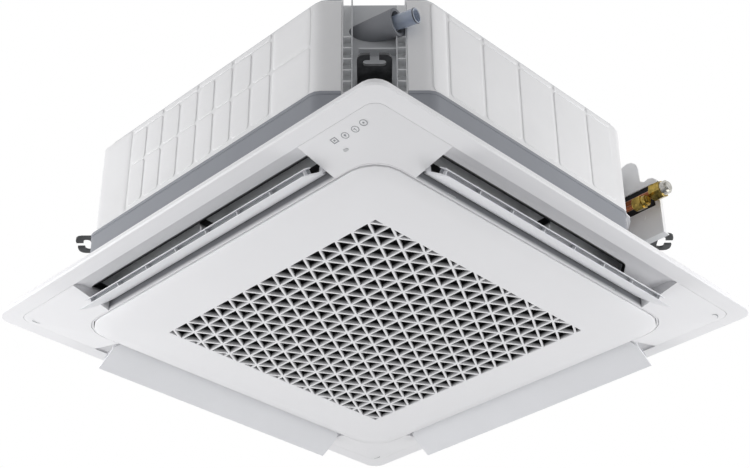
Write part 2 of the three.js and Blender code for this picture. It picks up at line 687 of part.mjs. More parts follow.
function frontGrille() {
  const lip = LATTICE_HALF + 1;
  const cornerAt = (half) => (half < lip + 2 ? 1.5 : GRILLE_CORNER - (GRILLE_HALF - half) * 0.4);
  const outline = (half) => squareOutline(half, cornerAt(half));
  const section = [
    [GRILLE_HALF, GRILLE_RIM_TOP],
    [GRILLE_HALF, GRILLE_EDGE_Z],
    [GRILLE_HALF - 4, GRILLE_EDGE_Z - 2.6],
    [GRILLE_HALF - 30, GRILLE_EDGE_Z - 5.4],
    [lip, GRILLE_FACE_Z],
    [lip, GRILLE_FACE_Z + LATTICE_DEPTH],
    [lip + GRILLE_WALL, GRILLE_FACE_Z + LATTICE_DEPTH],
    [lip + GRILLE_WALL, GRILLE_FACE_Z + GRILLE_WALL],
    [GRILLE_HALF - 30, GRILLE_EDGE_Z - 5.4 + GRILLE_WALL],
    [GRILLE_HALF - GRILLE_WALL, GRILLE_EDGE_Z + 0.6],
    [GRILLE_HALF - GRILLE_WALL, GRILLE_RIM_TOP],
  ];
  const shell = ring(section, outline);
  const edge = LATTICE_HALF + 2;
  const plate = block(-edge, edge, -edge, edge, GRILLE_FACE_Z, GRILLE_FACE_Z + LATTICE_DEPTH);
  let grille = shell.add(plate).subtract(latticeHoles());
  [-1, 1].forEach((side) => {
    const y = side * GRILLE_FITTING_Y;
    const wallFrom = -GRILLE_HALF - 1;
    const notchLow = GRILLE_HINGE_Z - GRILLE_ARM_HALF - FIT;
    const notch = block(wallFrom, GRILLE_HINGE_X, y - 13, y + 13, notchLow, 0);
    const room = rodY(PIN_RADIUS + FIT * 2, y - 9.2, y + 9.2, GRILLE_HINGE_X, GRILLE_HINGE_Z);
    const [lugFrom, lugTo] = [GRILLE_HINGE_X - 3.4, GRILLE_HINGE_X + 4];
    const lug = block(lugFrom, lugTo, y - 4, y + 4, GRILLE_EDGE_Z - 2, GRILLE_HINGE_Z + 4);
    const bore = rodY(PIN_RADIUS + FIT, y - 6, y + 6, GRILLE_HINGE_X, GRILLE_HINGE_Z);
    const window = block(
      GRILLE_HALF - GRILLE_WALL - 1,
      GRILLE_HALF + 1,
      y - CATCH_HALF - FIT,
      y + CATCH_HALF + FIT,
      CATCH_Z - CATCH_TONGUE - FIT,
      CATCH_Z + CATCH_TONGUE + FIT,
    );
    grille = cut(cut(grille, notch, room).add(lug), bore, window);
  });
  place('front_grille', grille, WHITE_PLASTIC);
}

function grilleHinges() {
  [-1, 1].forEach((side) => {
    const y = side * GRILLE_FITTING_Y;
    const [armFrom, armTo] = [GRILLE_HINGE_X - GRILLE_ARM_HALF, GRILLE_HINGE_X + GRILLE_ARM_HALF];
    const arm = (at) => join(
      block(armFrom, armTo, at, at + 2.4, GRILLE_HINGE_Z - 1.2, GRILLE_RIM_TOP + 8),
      block(-PANEL_INNER + FIT, armTo, at, at + 2.4, GRILLE_RIM_TOP + 2, GRILLE_RIM_TOP + 8),
    );
    const pin = rodY(PIN_RADIUS, y - 8, y + 8, GRILLE_HINGE_X, GRILLE_HINGE_Z);
    const yoke = block(
      -PANEL_INNER + FIT,
      -PANEL_INNER + 3,
      y - 9.4,
      y + 9.4,
      GRILLE_RIM_TOP + 2,
      GRILLE_RIM_TOP + 8,
    );
    const name = side < 0 ? 'grille_hinge_pin_near' : 'grille_hinge_pin_far';
    place(name, join(pin, arm(y - 8.6), arm(y + 6.2), yoke), GREY_PLASTIC);
  });
}

function grilleCatches() {
  [-1, 1].forEach((side) => {
    const y = side * GRILLE_FITTING_Y;
    const stop = GRILLE_HALF - GRILLE_WALL - FIT;
    const nose = block(
      stop - 4,
      SLOT_INNER - 0.4,
      y - CATCH_HALF,
      y + CATCH_HALF,
      CATCH_Z - CATCH_TONGUE,
      CATCH_Z + CATCH_TONGUE,
    );
    const back = block(stop - 5, stop, y - CATCH_HALF - 3, y + CATCH_HALF + 3, CATCH_Z - 3.4, CATCH_Z + 3.4);
    place(side < 0 ? 'grille_catch_near' : 'grille_catch_far', nose.add(back), GREY_PLASTIC);
  });
}

function airFilter() {
  const edge = LATTICE_HALF - 3;
  const bottom = GRILLE_FACE_Z + LATTICE_DEPTH + FIT;
  const rim = ring([
    [edge, bottom],
    [edge, bottom + 6],
    [edge - 9, bottom + 6],
    [edge - 9, bottom],
  ], (half) => squareOutline(half, 4, 1));
  const mesh = block(-edge + 5, edge - 5, -edge + 5, edge - 5, bottom, bottom + 1.2);
  const ribs = [-1, 0, 1].flatMap((i) => {
    const at = (i * edge) / 2;
    return [
      block(at - 2, at + 2, -edge + 5, edge - 5, bottom, bottom + 4),
      block(-edge + 5, edge - 5, at - 2, at + 2, bottom, bottom + 4),
    ];
  });
  place('air_filter', join(rim, mesh, ...ribs), BLACK_FOAM);
}

// ---------------------------------------------------------------- body shells
function nearRecess(floor) {
  const half = RECESS_HALF + REST;
  return toNear(block(RECESS_BACK - REST, HANGER_REACH + 60, -half, half, floor, BODY_TOP + 110));
}

function pipeBores(clearance) {
  return join(
    rodX(GAS_RADIUS + clearance, COIL_HALF - 40, PIPE_COVER_X + 35, GAS_Y, GAS_Z, 20),
    rodX(LIQUID_RADIUS + clearance, COIL_HALF - 40, PIPE_COVER_X + 35, LIQUID_Y, LIQUID_Z, 16),
  );
}

function baseBand() {
  const inner = BASE_HALF - BASE_WALL;
  const foot = FIT - TRAY_DEPTH;
  const section = [
    [BASE_HALF, foot],
    [BASE_HALF, BASE_TOP - 6],
    [BASE_HALF + 1.5, BASE_TOP - 5],
    [BASE_HALF + 1.5, BASE_TOP],
    [inner - 7, BASE_TOP],
    [inner - 7, BASE_TOP - BASE_WALL],
    [inner, BASE_TOP - BASE_WALL],
    [inner, foot],
  ];
  place('base_band', ring(section, baseOutline).subtract(nearRecess(RECESS_FLOOR)), BASE_GREY);
}

function bodyCasing() {
  const foot = BASE_TOP + FIT;
  const section = [
    [CASING_HALF + 5, foot],
    [CASING_HALF + 5, foot + 2.5],
    [CASING_HALF, foot + 8],
    [CASING_HALF, BODY_TOP - 10],
    [CASING_HALF - 3, BODY_TOP - 3],
    [CASING_HALF - 9, BODY_TOP],
    [CASING_HALF - 14, BODY_TOP],
    [CASING_HALF - 14, BODY_TOP - 2.4],
    [CASING_HALF - 7, BODY_TOP - 5],
    [CASING_HALF - CASING_WALL, BODY_TOP - 11],
    [CASING_HALF - CASING_WALL, foot + 8],
    [CASING_HALF - CASING_WALL, foot],
  ];
  const shell = ring(section, casingOutline);
  place('body_casing', cut(shell, nearRecess(0), pipeBores(1)), FOAM_WHITE);
}

function topSheet() {
  const outline = casingOutline(CASING_HALF - 6);
  const sheet = prism(outline, BODY_TOP + FIT, BODY_TOP + FIT + TOP_SHEET);
  place('top_sheet', sheet.subtract(nearRecess(0)), ZINC_STEEL);
}

const LINER_BOTTOM = PAN_TOP + FIT;
const INSULATION_BOTTOM = COIL_TOP + FIT;

function insulation() {
  const outer = CASING_HALF - CASING_WALL - 1;
  const inner = outer - LINER_THICK;
  const liner = ring([
    [outer, LINER_BOTTOM],
    [outer, BODY_TOP - 14],
    [inner, BODY_TOP - 14],
    [inner, LINER_BOTTOM],
  ], bodyOutline(BASE_REACHES, 20));
  place('side_insulation', cut(liner, nearRecess(0), pipeBores(1.6)), GREY_FOAM);
  const lidHalf = inner - 1;
  const lid = prism(panOutline(lidHalf), INSULATION_BOTTOM, BODY_TOP).subtract(nearRecess(0));
  const room = rod(MOTOR_RADIUS + 14, INSULATION_BOTTOM - 1, BODY_TOP + 1, 0, 0, 32);
  place('top_insulation', lid.subtract(room), GREY_FOAM);
}

// ---------------------------------------------------------------- near corner frame and drain
const DRAIN_START = [RECESS_BACK - 10, -28, DRAIN_HEIGHT];
const DRAIN_MOUTH = [RECESS_BACK + 48, 66, DRAIN_HEIGHT - 6];
const SLEEVE_FROM = -8;
const SLEEVE_TO = 76;
const FRAME_WALL = 2.2;

// lays a piece drawn up from the origin onto the drain's axis
function layDrain(solid) {
  const start = new THREE.Vector3(...DRAIN_START);
  const axis = new THREE.Vector3(...DRAIN_MOUTH).sub(start).normalize();
  const bearing = THREE.MathUtils.radToDeg(Math.atan2(axis.y, axis.x));
  const lean = THREE.MathUtils.radToDeg(Math.acos(axis.z));
  return toNear(solid.rotate([0, lean, bearing]).translate([start.x, start.y, start.z]));
}

function drainCornerFrame() {
  const top = BODY_TOP - 1;
  const front = CORNER_REACH - 1;
  const plateAt = 36;
  const pieces = [-1, 1].flatMap((side) => {
    const span = (a, b) => [side * a, side * b].sort((p, q) => p - q);
    const [edge, plate, fin] = [
      span(RECESS_HALF, RECESS_HALF - FRAME_WALL),
      span(plateAt, plateAt - FRAME_WALL),
      span(RECESS_HALF - 1, plateAt - 1),
    ];
    const plateTop = side < 0 ? top : DRAIN_HEIGHT - 9;
    const fins = [64, 86, 108, 130, 152, 174, 196, 218].map((z) => (
      block(RECESS_BACK, front, fin[0], fin[1], z, z + 2)
    ));
    return [
      block(RECESS_BACK, front, edge[0], edge[1], RECESS_FLOOR, top),
      block(RECESS_BACK, front + 7, plate[0], plate[1], RECESS_FLOOR, plateTop),
      ...fins,
    ];
  });
  const crossbar = block(RECESS_BACK, front + 2, -24, plateAt - 1, 192, 195);
  const back = block(RECESS_BACK, RECESS_BACK + FRAME_WALL, -RECESS_HALF, RECESS_HALF, RECESS_FLOOR, top);
  const pipeCut = layDrain(rod(DRAIN_RADIUS + FIT, -10, 140, 0, 0, 24));
  const sleeveCut = layDrain(turnedSolid([
    [0, SLEEVE_FROM],
    [SLEEVE_ROOT_RADIUS + FIT, SLEEVE_FROM],
    [SLEEVE_RADIUS + FIT, SLEEVE_TO],
    [SLEEVE_RADIUS + FIT, SLEEVE_TO + 4],
    [0, SLEEVE_TO + 4],
  ]));
  const clear = cut(toNear(join(crossbar, ...pieces)), sleeveCut, pipeCut);
  const wallBehind = toNear(block(RECESS_BACK - 1, RECESS_BACK + FRAME_WALL, -100, 100, 0, BODY_TOP + 10));
  const kept = join(clear.subtract(wallBehind), toNear(back).subtract(pipeCut));
  const stiles = toNear(join(crossbar, ...pieces)).intersect(wallBehind).subtract(pipeCut);
  place('drain_corner_frame', join(kept, stiles), GREY_PLASTIC);
}

function drainPieces() {
  const length = new THREE.Vector3(...DRAIN_MOUTH).distanceTo(new THREE.Vector3(...DRAIN_START));
  const stub = turned([
    [DRAIN_RADIUS, 0],
    [DRAIN_RADIUS, length],
    [DRAIN_RADIUS - DRAIN_WALL, length],
    [DRAIN_RADIUS - DRAIN_WALL, 0],
  ], 24);
  place('drain_outlet_pipe', layDrain(stub), HOSE_CLEAR);
  const sleeve = turned([
    [DRAIN_RADIUS + FIT, SLEEVE_FROM],
    [SLEEVE_ROOT_RADIUS, SLEEVE_FROM],
    [SLEEVE_RADIUS, SLEEVE_TO],
    [SLEEVE_RADIUS - SLEEVE_WALL, SLEEVE_TO],
    [SLEEVE_RADIUS - SLEEVE_WALL - 1, SLEEVE_TO - 16],
    [DRAIN_RADIUS + FIT, SLEEVE_TO - 18],
  ], 24);
  const wallFace = RECESS_BACK + FRAME_WALL + FIT;
  const behind = toNear(block(wallFace - 62, wallFace, -90, 90, DRAIN_HEIGHT - 60, BODY_TOP + 10));
  place('drain_sleeve', layDrain(sleeve).subtract(behind), GREY_FOAM);
}

// ---------------------------------------------------------------- drain pump and float
const SUMP_FLOOR = 26;
const PUMP_AT = [RECESS_BACK - 32, 20];
const PUMP_RADIUS = 23;
const PUMP_NECK = 14;
const PUMP_FOOT = SUMP_FLOOR + FIT + 4;
const PUMP_TOP = PUMP_FOOT + 96;
const SUPPORT_Z = PUMP_FOOT + 66 + FIT;
const WELL_RADIUS = 7.4;
const FLOAT_AT = [RECESS_BACK - 34, -27];
const FLOAT_RADIUS = 11;
const STEM_RADIUS = 3;

const standAt = (solid, [reach, along]) => solid.translate(atNear(reach, along, 0));

function drainPump() {
  const housing = turnedSolid([
    [0, PUMP_FOOT],
    [12, PUMP_FOOT],
    [16, PUMP_FOOT + 18],
    [PUMP_RADIUS, PUMP_FOOT + 22],
    [PUMP_RADIUS, PUMP_FOOT + 62],
    [PUMP_NECK, PUMP_FOOT + 66],
    [PUMP_NECK, PUMP_TOP],
    [0, PUMP_TOP],
  ], 16);
  const well = rod(WELL_RADIUS, PUMP_FOOT - 1, PUMP_FOOT + 17);
  place('drain_pump', standAt(housing.subtract(well), PUMP_AT), WHITE_PLASTIC);
  const [low, high] = [PUMP_FOOT + 1, PUMP_FOOT + 17 - FIT];
  const paddle = WELL_RADIUS - 1;
  const impeller = join(
    rod(2.4, low, high, 0, 0, 12),
    block(-paddle, paddle, -0.8, 0.8, low, high - 1),
    block(-0.8, 0.8, -paddle, paddle, low, high - 1),
  );
  place('pump_impeller', standAt(impeller, PUMP_AT), GREY_PLASTIC);
  const support = join(
    block(RECESS_BACK - 62, RECESS_BACK - FIT, -44, 46, SUPPORT_Z, SUPPORT_Z + 2.5),
    block(RECESS_BACK - FIT - 2.5, RECESS_BACK - FIT, -44, 46, SUPPORT_Z, SUPPORT_Z + 26),
  );
  const neckHole = standAt(rod(PUMP_NECK + FIT, SUPPORT_Z - 1, SUPPORT_Z + 4, 0, 0, 24), PUMP_AT);
  const stemHole = standAt(rod(STEM_RADIUS + FIT, SUPPORT_Z - 1, SUPPORT_Z + 4), FLOAT_AT);
  place('pump_support', cut(toNear(support), neckHole, stemHole), ZINC_STEEL);
}

function floatSwitch() {
  const low = SUMP_FLOOR + FIT;
  const stem = join(
    rod(STEM_RADIUS, low, SUPPORT_Z + 12),
    rod(6, low, low + 3),
    rod(7, SUPPORT_Z + 2.5 + FIT, SUPPORT_Z + 16),
  );
  place('float_switch_stem', standAt(stem, FLOAT_AT), GREY_PLASTIC);
  const ringFloat = turned([
    [STEM_RADIUS + FIT, low + 4],
    [FLOAT_RADIUS, low + 4],
    [FLOAT_RADIUS, low + 20],
    [STEM_RADIUS + FIT, low + 20],
  ], 20);
  place('float_ring', standAt(ringFloat, FLOAT_AT), WHITE_PLASTIC);
}

function pumpHose() {
  const [reach, along] = PUMP_AT;
  const [endReach, endAlong, endZ] = DRAIN_START;
  const route = [
    [reach, along, PUMP_TOP + FIT],
    [reach, along, PUMP_TOP + 12],
    [reach, along - 2, PUMP_TOP + 26],
    [reach - 3, along - 22, endZ - 55],
    [reach - 4, along - 60, endZ - 19],
    [endReach - 15, endAlong - 29, endZ - 1],
    [endReach - 8, endAlong - 13.5, endZ + 0.6],
    [endReach - 0.6, endAlong - 1, endZ],
  ].map(([r, a, z]) => atNear(r, a, z));
  place('pump_hose', pipe(route, 9, 14, 10), GREY_FOAM);
}

// ---------------------------------------------------------------- fan
function turboFan() {
  const hub = turned([
    [SHAFT_RADIUS + FIT, FAN_BOSS_LOW],
    [14, FAN_BOSS_LOW],
    [14, FAN_BOSS_LOW + 16],
    [MOTOR_RADIUS + 14, FAN_BOSS_LOW + 16],
    [HUB_DOME - 6, BACK_LOW],
    [FAN_RADIUS, BACK_LOW],
    [FAN_RADIUS, BACK_LOW + 3],
    [HUB_DOME - 8, BACK_LOW + 3],
    [MOTOR_RADIUS + 11.5, FAN_BOSS_LOW + 19],
    [SHAFT_RADIUS + FIT, FAN_BOSS_LOW + 19],
  ]);
  const shroud = turned([
    [FAN_EYE, FAN_BOTTOM],
    [FAN_EYE + 2, FAN_BOTTOM],
    [FAN_EYE + 5, FAN_BOTTOM + 14],
    [FAN_EYE + 21, FAN_BOTTOM + 26],
    [FAN_RADIUS, FAN_BOTTOM + 35],
    [FAN_RADIUS, FAN_BOTTOM + 37.4],
    [FAN_EYE + 20, FAN_BOTTOM + 28.4],
    [FAN_EYE + 3.4, FAN_BOTTOM + 16],
    [FAN_EYE, FAN_BOTTOM + 2.5],
  ]);
  const sweep = turned([
    [FAN_EYE + 1, FAN_BOTTOM + 3],
    [FAN_EYE + 4.4, FAN_BOTTOM + 15],
    [FAN_EYE + 20.6, FAN_BOTTOM + 27.4],
    [FAN_RADIUS - 1, FAN_BOTTOM + 36.4],
    [FAN_RADIUS - 1, BACK_LOW + 1.5],
    [HUB_DOME + 20, BACK_LOW + 1.5],
  ]);
  const stations = [0, 1, 2, 3, 4].map((i) => {
    const radius = FAN_RADIUS - 96 + i * 25;
    const angle = THREE.MathUtils.degToRad(-i * 11 + i * i * 0.5);
    return new THREE.Vector2(radius * Math.cos(angle), radius * Math.sin(angle));
  });
  const skin = (offset) => stations.map((point, i) => {
    const next = stations[Math.min(i + 1, 4)];
    const last = stations[Math.max(i - 1, 0)];
    const along = next.clone().sub(last).normalize();
    return [point.x - along.y * offset, point.y + along.x * offset];
  });
  const blade = prism([...skin(-1.6), ...skin(1.6).reverse()], FAN_BOTTOM, BACK_LOW + 2).intersect(sweep);
  const blades = Array.from({ length: FAN_BLADES }, (_, i) => blade.rotate([0, 0, (360 * i) / FAN_BLADES]));
  place('turbo_fan', join(hub, shroud, ...blades), GREY_PLASTIC);
}

function fanMotor() {
  const motor = turnedSolid([
    [0, FAN_BOSS_LOW - 11],
    [SHAFT_RADIUS, FAN_BOSS_LOW - 11],
    [SHAFT_RADIUS, MOTOR_BOTTOM],
    [MOTOR_RADIUS - 40, MOTOR_BOTTOM],
    [MOTOR_RADIUS, MOTOR_BOTTOM + 8],
    [MOTOR_RADIUS, COIL_TOP - 8],
    [MOTOR_RADIUS - 18, COIL_TOP],
    [0, COIL_TOP],
  ]);
  place('fan_motor', motor, BLACK_STEEL);
  const nut = turned([
    [SHAFT_RADIUS + FIT, FAN_BOSS_LOW - 9],
    [SHAFT_RADIUS + 6, FAN_BOSS_LOW - 9],
    [SHAFT_RADIUS + 6, FAN_BOSS_LOW - FIT],
    [SHAFT_RADIUS + FIT, FAN_BOSS_LOW - FIT],
  ], 6);
  const bore = rod(SHAFT_RADIUS + FIT, FAN_BOSS_LOW - 20, FAN_BOSS_LOW + 10);
  place('fan_nut', nut.subtract(bore), ZINC_STEEL);
  const plate = rod(MOTOR_RADIUS + 8, COIL_TOP + FIT, COIL_TOP + FIT + 3, 0, 0, 24);
  const post = rod(6, COIL_TOP + 2, BODY_TOP, MOTOR_RADIUS - 8, 0, 8).rotate([0, 0, 45]);
  const posts = SIDES.map((_, turns) => quarterTurn(post, turns));
  place('motor_bracket', join(plate, ...posts), ZINC_STEEL);
}

function bellMouth() {
  const plate = prism(
    squareOutline(PANEL_INNER - 19.6, 30),
    ORIFICE_PLATE_Z,
    ORIFICE_PLATE_Z + ORIFICE_PLATE,
    [circle(ORIFICE_MOUTH, 32)],
  );
  const bell = turned([
    [ORIFICE_RADIUS, ORIFICE_TOP],
    [ORIFICE_RADIUS + 1.5, ORIFICE_TOP - 20],
    [ORIFICE_RADIUS + 8, ORIFICE_TOP - 42],
    [ORIFICE_RADIUS + 22, ORIFICE_TOP - 62],
    [ORIFICE_MOUTH - 3, ORIFICE_PLATE_Z],
    [ORIFICE_MOUTH + 3, ORIFICE_PLATE_Z],
    [ORIFICE_MOUTH + 3, ORIFICE_PLATE_Z + ORIFICE_PLATE],
    [ORIFICE_MOUTH, ORIFICE_PLATE_Z + ORIFICE_PLATE],
    [ORIFICE_RADIUS + 24, ORIFICE_TOP - 59.4],
    [ORIFICE_RADIUS + 10, ORIFICE_TOP - 40],
    [ORIFICE_RADIUS + 3.5, ORIFICE_TOP - 19],
    [ORIFICE_RADIUS + 2, ORIFICE_TOP],
  ]);
  const inside = prism(panOutline(PAN_HALF - 1), 0, ORIFICE_TOP + 10);
  place('bell_mouth', join(plate, bell).intersect(inside), BLACK_FOAM);
}

// ---------------------------------------------------------------- coil, pan and piping
const coilOutline = (half) => squareOutline(half, COIL_CORNER - (COIL_HALF - half), 5);
const TROUGH_WALL = 4;
const LINE_START = COIL_END + 3.4;
const LINE_X = COIL_HALF - 18;

function evaporatorCoil() {
  const inner = COIL_HALF - COIL_DEPTH;
  const wrap = ring([
    [COIL_HALF, COIL_BOTTOM],
    [COIL_HALF, COIL_TOP],
    [inner, COIL_TOP],
    [inner, COIL_BOTTOM],
  ], coilOutline);
  const gap = block(COIL_END, BASE_HALF, COIL_END, BASE_HALF, 0, BODY_TOP);
  place('evaporator_coil', wrap.subtract(gap), COIL_ALUMINIUM);
  const sheet = [inner - 2, COIL_HALF + 2, COIL_END + FIT, COIL_END + 2.3, COIL_BOTTOM, COIL_TOP];
  const [x0, x1, y0, y1, z0, z1] = sheet;
  const returnBends = [0, 1, 2, 3].map((i) => {
    const z = 70 + i * 46;
    const loop = [[0, 0], [0, 12], [6, 20], [18, 20], [24, 12], [24, 0]];
    const route = loop.map(([a, b]) => [y1 - 0.5 + b, inner + 6 + a, z + a * 0.4]);
    return pipe(route, 4.2, 6, 6);
  });
  const farSheet = join(block(y0, y1, x0, x1, z0, z1), ...returnBends);
  place('coil_end_far', farSheet, COPPER);
  place('coil_end_right', block(x0, x1, y0, y1, z0, z1), ZINC_STEEL);
}

function drainPan() {
  const troughOut = COIL_HALF + TROUGH_MARGIN;
  const troughIn = COIL_HALF - COIL_DEPTH - TROUGH_MARGIN;
  const pan = prism(baseOutline(PAN_HALF), PAN_BOTTOM, PAN_TOP, [squareOutline(troughIn, 60)]);
  const inner = troughIn + TROUGH_WALL;
  const trough = ring([
    [troughOut, TROUGH_FLOOR],
    [troughOut, PAN_TOP + 1],
    [inner, PAN_TOP + 1],
    [inner, TROUGH_FLOOR],
  ], coilOutline);
  const sump = toNear(block(RECESS_BACK - 74, RECESS_BACK - 6, -47, 47, SUMP_FLOOR, PAN_TOP + 1));
  const inside = prism(panOutline(PAN_HALF - DUCT_WALL), 0, PAN_TOP + 1);
  const outlets = SIDES.map((_, turns) => quarterTurn(
    block(-SLOT_HALF, SLOT_HALF, -LIP_THROAT - 2, -PANEL_INNER + 1, PAN_BOTTOM - 1, PAN_TOP + 1),
    turns,
  ).intersect(inside));
  place('drain_pan', cut(pan, trough, sump, nearRecess(RECESS_FLOOR - FIT), ...outlets), FOAM_WHITE);
}

function hexNut(across, x0, x1, y, z) {
  const geometry = new THREE.CylinderGeometry(across / Math.sqrt(3), across / Math.sqrt(3), x1 - x0, 6);
  geometry.rotateZ(Math.PI / 2);
  return toSolid(move(geometry, (x0 + x1) / 2, y, z));
}

// one refrigerant line with its flare nut and blanking plug
function pipeLine(name, route, radius, end, across) {
  const [y, z] = route[route.length - 1].slice(1);
  place(`${name}_pipe`, pipe([...route, [end, y, z]], radius, 18, 12), COPPER);
  const bore = radius + FIT;
  const nutFrom = end - 5;
  const nutTo = end + across * 0.62;
  const throat = across * 0.36;
  const body = join(
    hexNut(across, nutFrom + 3, nutTo, y, z),
    rodX(across * 0.42, nutFrom, nutFrom + 4, y, z),
  );
  const nut = cut(
    body,
    rodX(bore, nutFrom - 1, end + 1, y, z),
    rodX(throat, end + 0.6, nutTo + 1, y, z),
  );
  place(`${name}_flare_nut`, nut, BRASS);
  const plug = join(
    rodX(throat - FIT, end + 0.6 + FIT, nutTo + 1, y, z),
    rodX(across * 0.44, nutTo + FIT, nutTo + across * 0.34, y, z, 14),
    rodX(across * 0.3, nutTo + across * 0.3, nutTo + across * 0.48, y, z, 14),
  );
  place(`${name}_plug`, plug, SILVER_CAP);
}

function refrigerantLines() {
  const gasEnd = [113, 89, 64, 34].map((back) => [GAS_END - back, GAS_Y, GAS_Z]);
  const liquidEnd = [104, 82, 57].map((back) => [LIQUID_END - back, LIQUID_Y, LIQUID_Z]);
  const gas = [
    [LINE_X, LINE_START, GAS_Z - 32],
    [LINE_X, LINE_START + 14.6, GAS_Z - 31],
    [LINE_X - 12, GAS_Y - 36, GAS_Z - 14],
    [LINE_X - 20, GAS_Y - 10, GAS_Z - 1],
    ...gasEnd,
  ];
  const liquid = [
    [LINE_X, LINE_START, LIQUID_Z - 82],
    [LINE_X, LINE_START + 12.6, LIQUID_Z - 81],
    [LINE_X - 10, LIQUID_Y - 20, LIQUID_Z - 62],
    [LINE_X - 18, LIQUID_Y - 5, LIQUID_Z - 26],
    ...liquidEnd,
  ];
  pipeLine('gas', gas, GAS_RADIUS, GAS_END, 29);
  pipeLine('liquid', liquid, LIQUID_RADIUS, LIQUID_END, 23);
}

// a sheet standing across Y from a list of [x, z]
const standing = (points, y0, y1, holes = []) => prism(points, -y1, -y0, holes).rotate([90, 0, 0]);

function arch(x, z, radius, steps = 6) {
  return Array.from({ length: steps + 1 }, (_, i) => {
    const angle = (Math.PI * i) / steps;
    return [x + radius * Math.cos(angle), z + radius * Math.sin(angle)];
  });
}

function bodyRoom() {
  const grown = FIT + 0.1;
  return join(
    prism(casingOutline(CASING_HALF + 5 + grown), BASE_TOP, BASE_TOP + 9),
    prism(casingOutline(CASING_HALF + grown), BASE_TOP + 8, BODY_TOP + 10),
    prism(baseOutline(BASE_HALF + 1.5 + grown), -5, BASE_TOP + 1),
  );
}

// room round the hanger bracket on the pipe corner
function bracketRoom() {
  const room = block(
    PIPE_CORNER_REACH,
    HANGER_REACH + FIT,
    -HANGER_HALF - FIT,
    HANGER_HALF + FIT,
    HANGER_Z - HANGER_LUG - FIT,
    HANGER_Z + HANGER_SHEET + FIT,
  );
  return quarterTurn(toNear(room), 1);
}

function pipingCover() {
  const sheet = 2;
  const fold = 8;
  const front = PIPE_COVER_Y;
  const edge = PIPE_COVER_X;
  const low = BASE_TOP + 3;
  const outline = [
    [edge - 125, 4],
    [edge - 55, 4],
    [edge - 55, low],
    [edge, low],
    [edge, GAS_Z + 30],
    ...arch(edge - 19, GAS_Z + 30, 19).slice(1, 5),
    [edge - 37, GAS_Z + 52],
    [edge - 38, GAS_Z + 80],
    ...arch(edge - 60, GAS_Z + 80, 22).slice(1),
    [edge - 95, GAS_Z + 80],
    [edge - 125, low - 7],
  ];
  const [openFrom, openTo] = [edge - 79, edge - 10];
  const [openLow, openHigh] = [GAS_Z - 12, GAS_Z + 35];
  const opening = [[openFrom, openLow], [openTo, openLow], [openTo, openHigh], [openFrom, openHigh]];
  const plate = standing(outline, front, front + sheet, [opening]);
  const flange = block(edge - sheet, edge, front + 1, front + fold, low, GAS_Z + 30);
  const foot = block(edge - 57, edge, front + 1, front + 2 * fold, low, low + sheet);
  const head = rodY(4.5, front - 1.6, front + 1, edge - 38, GAS_Z - 28);
  const cover = cut(join(plate, flange, foot, head), bodyRoom(), bracketRoom());
  place('piping_cover', cover, GREY_PLASTIC);
  const seal = block(openFrom - 4, openTo + 6, front + sheet + FIT, front + sheet + 12, openLow - 6, openHigh + 6);
  place('piping_seal', seal.subtract(bodyRoom()), BLACK_FOAM);
}

// ---------------------------------------------------------------- electrics
const BOX_TOP = ORIFICE_PLATE_Z - FIT;
const BOX_BOTTOM = -14;
const BOX_HALF = 150;
const BOX_Y = [-PANEL_INNER + 12.6, -PANEL_INNER + 102.6];

function controlBox() {
  const [y0, y1] = BOX_Y;
  const outer = block(-BOX_HALF, BOX_HALF, y0, y1, BOX_BOTTOM, BOX_TOP);
  const room = block(-BOX_HALF + 1.5, BOX_HALF - 1.5, y0 + 1.5, y1 - 1.5, BOX_BOTTOM - 1, BOX_TOP - 1.5);
  place('control_box', outer.subtract(room), ZINC_STEEL);
  const lid = join(
    block(-BOX_HALF, BOX_HALF, y0, y1, BOX_BOTTOM - FIT - 1.5, BOX_BOTTOM - FIT),
    block(-BOX_HALF + 2, BOX_HALF - 2, y0 + 2, y0 + 3.5, BOX_BOTTOM - FIT - 1, BOX_BOTTOM + 5),
    block(-BOX_HALF + 2, BOX_HALF - 2, y1 - 3.5, y1 - 2, BOX_BOTTOM - FIT - 1, BOX_BOTTOM + 5),
  );
  place('control_box_cover', lid, ZINC_STEEL);
  const boardTop = BOX_TOP - 1.5 - FIT;
  const posts = [-1, 1].flatMap((sx) => [-1, 1].map((sy) => (
    rod(3, boardTop - 7, boardTop, sx * 132, (y0 + y1) / 2 + sy * 34, 8)
  )));
  const board = block(-138, 138, y0 + 6, y1 - 6, boardTop - 8.6, boardTop - 6.8);
  const parts = [
    rod(9, boardTop - 20, boardTop - 8, -110, y0 + 52, 16),
    rod(9, boardTop - 20, boardTop - 8, -86, y0 + 52, 16),
    block(-60, -24, y0 + 22, y0 + 56, boardTop - 19, boardTop - 8),
    block(-6, 30, y0 + 32, y0 + 62, boardTop - 14, boardTop - 8),
    block(50, 74, y0 + 17, y0 + 34, boardTop - 18, boardTop - 8),
    block(50, 122, y0 + 62, y0 + 72, boardTop - 16, boardTop - 8),
  ];
  place('control_board', join(board, ...posts, ...parts), BOARD_GREEN);
}

// ---------------------------------------------------------------- hanger brackets
const HANGER_ROOTS = [
  RECESS_BACK + FRAME_WALL + FIT,
  PIPE_CORNER_REACH + 1.9,
  BACK_CORNER_REACH + 1.9,
  BACK_CORNER_REACH + 1.9,
];

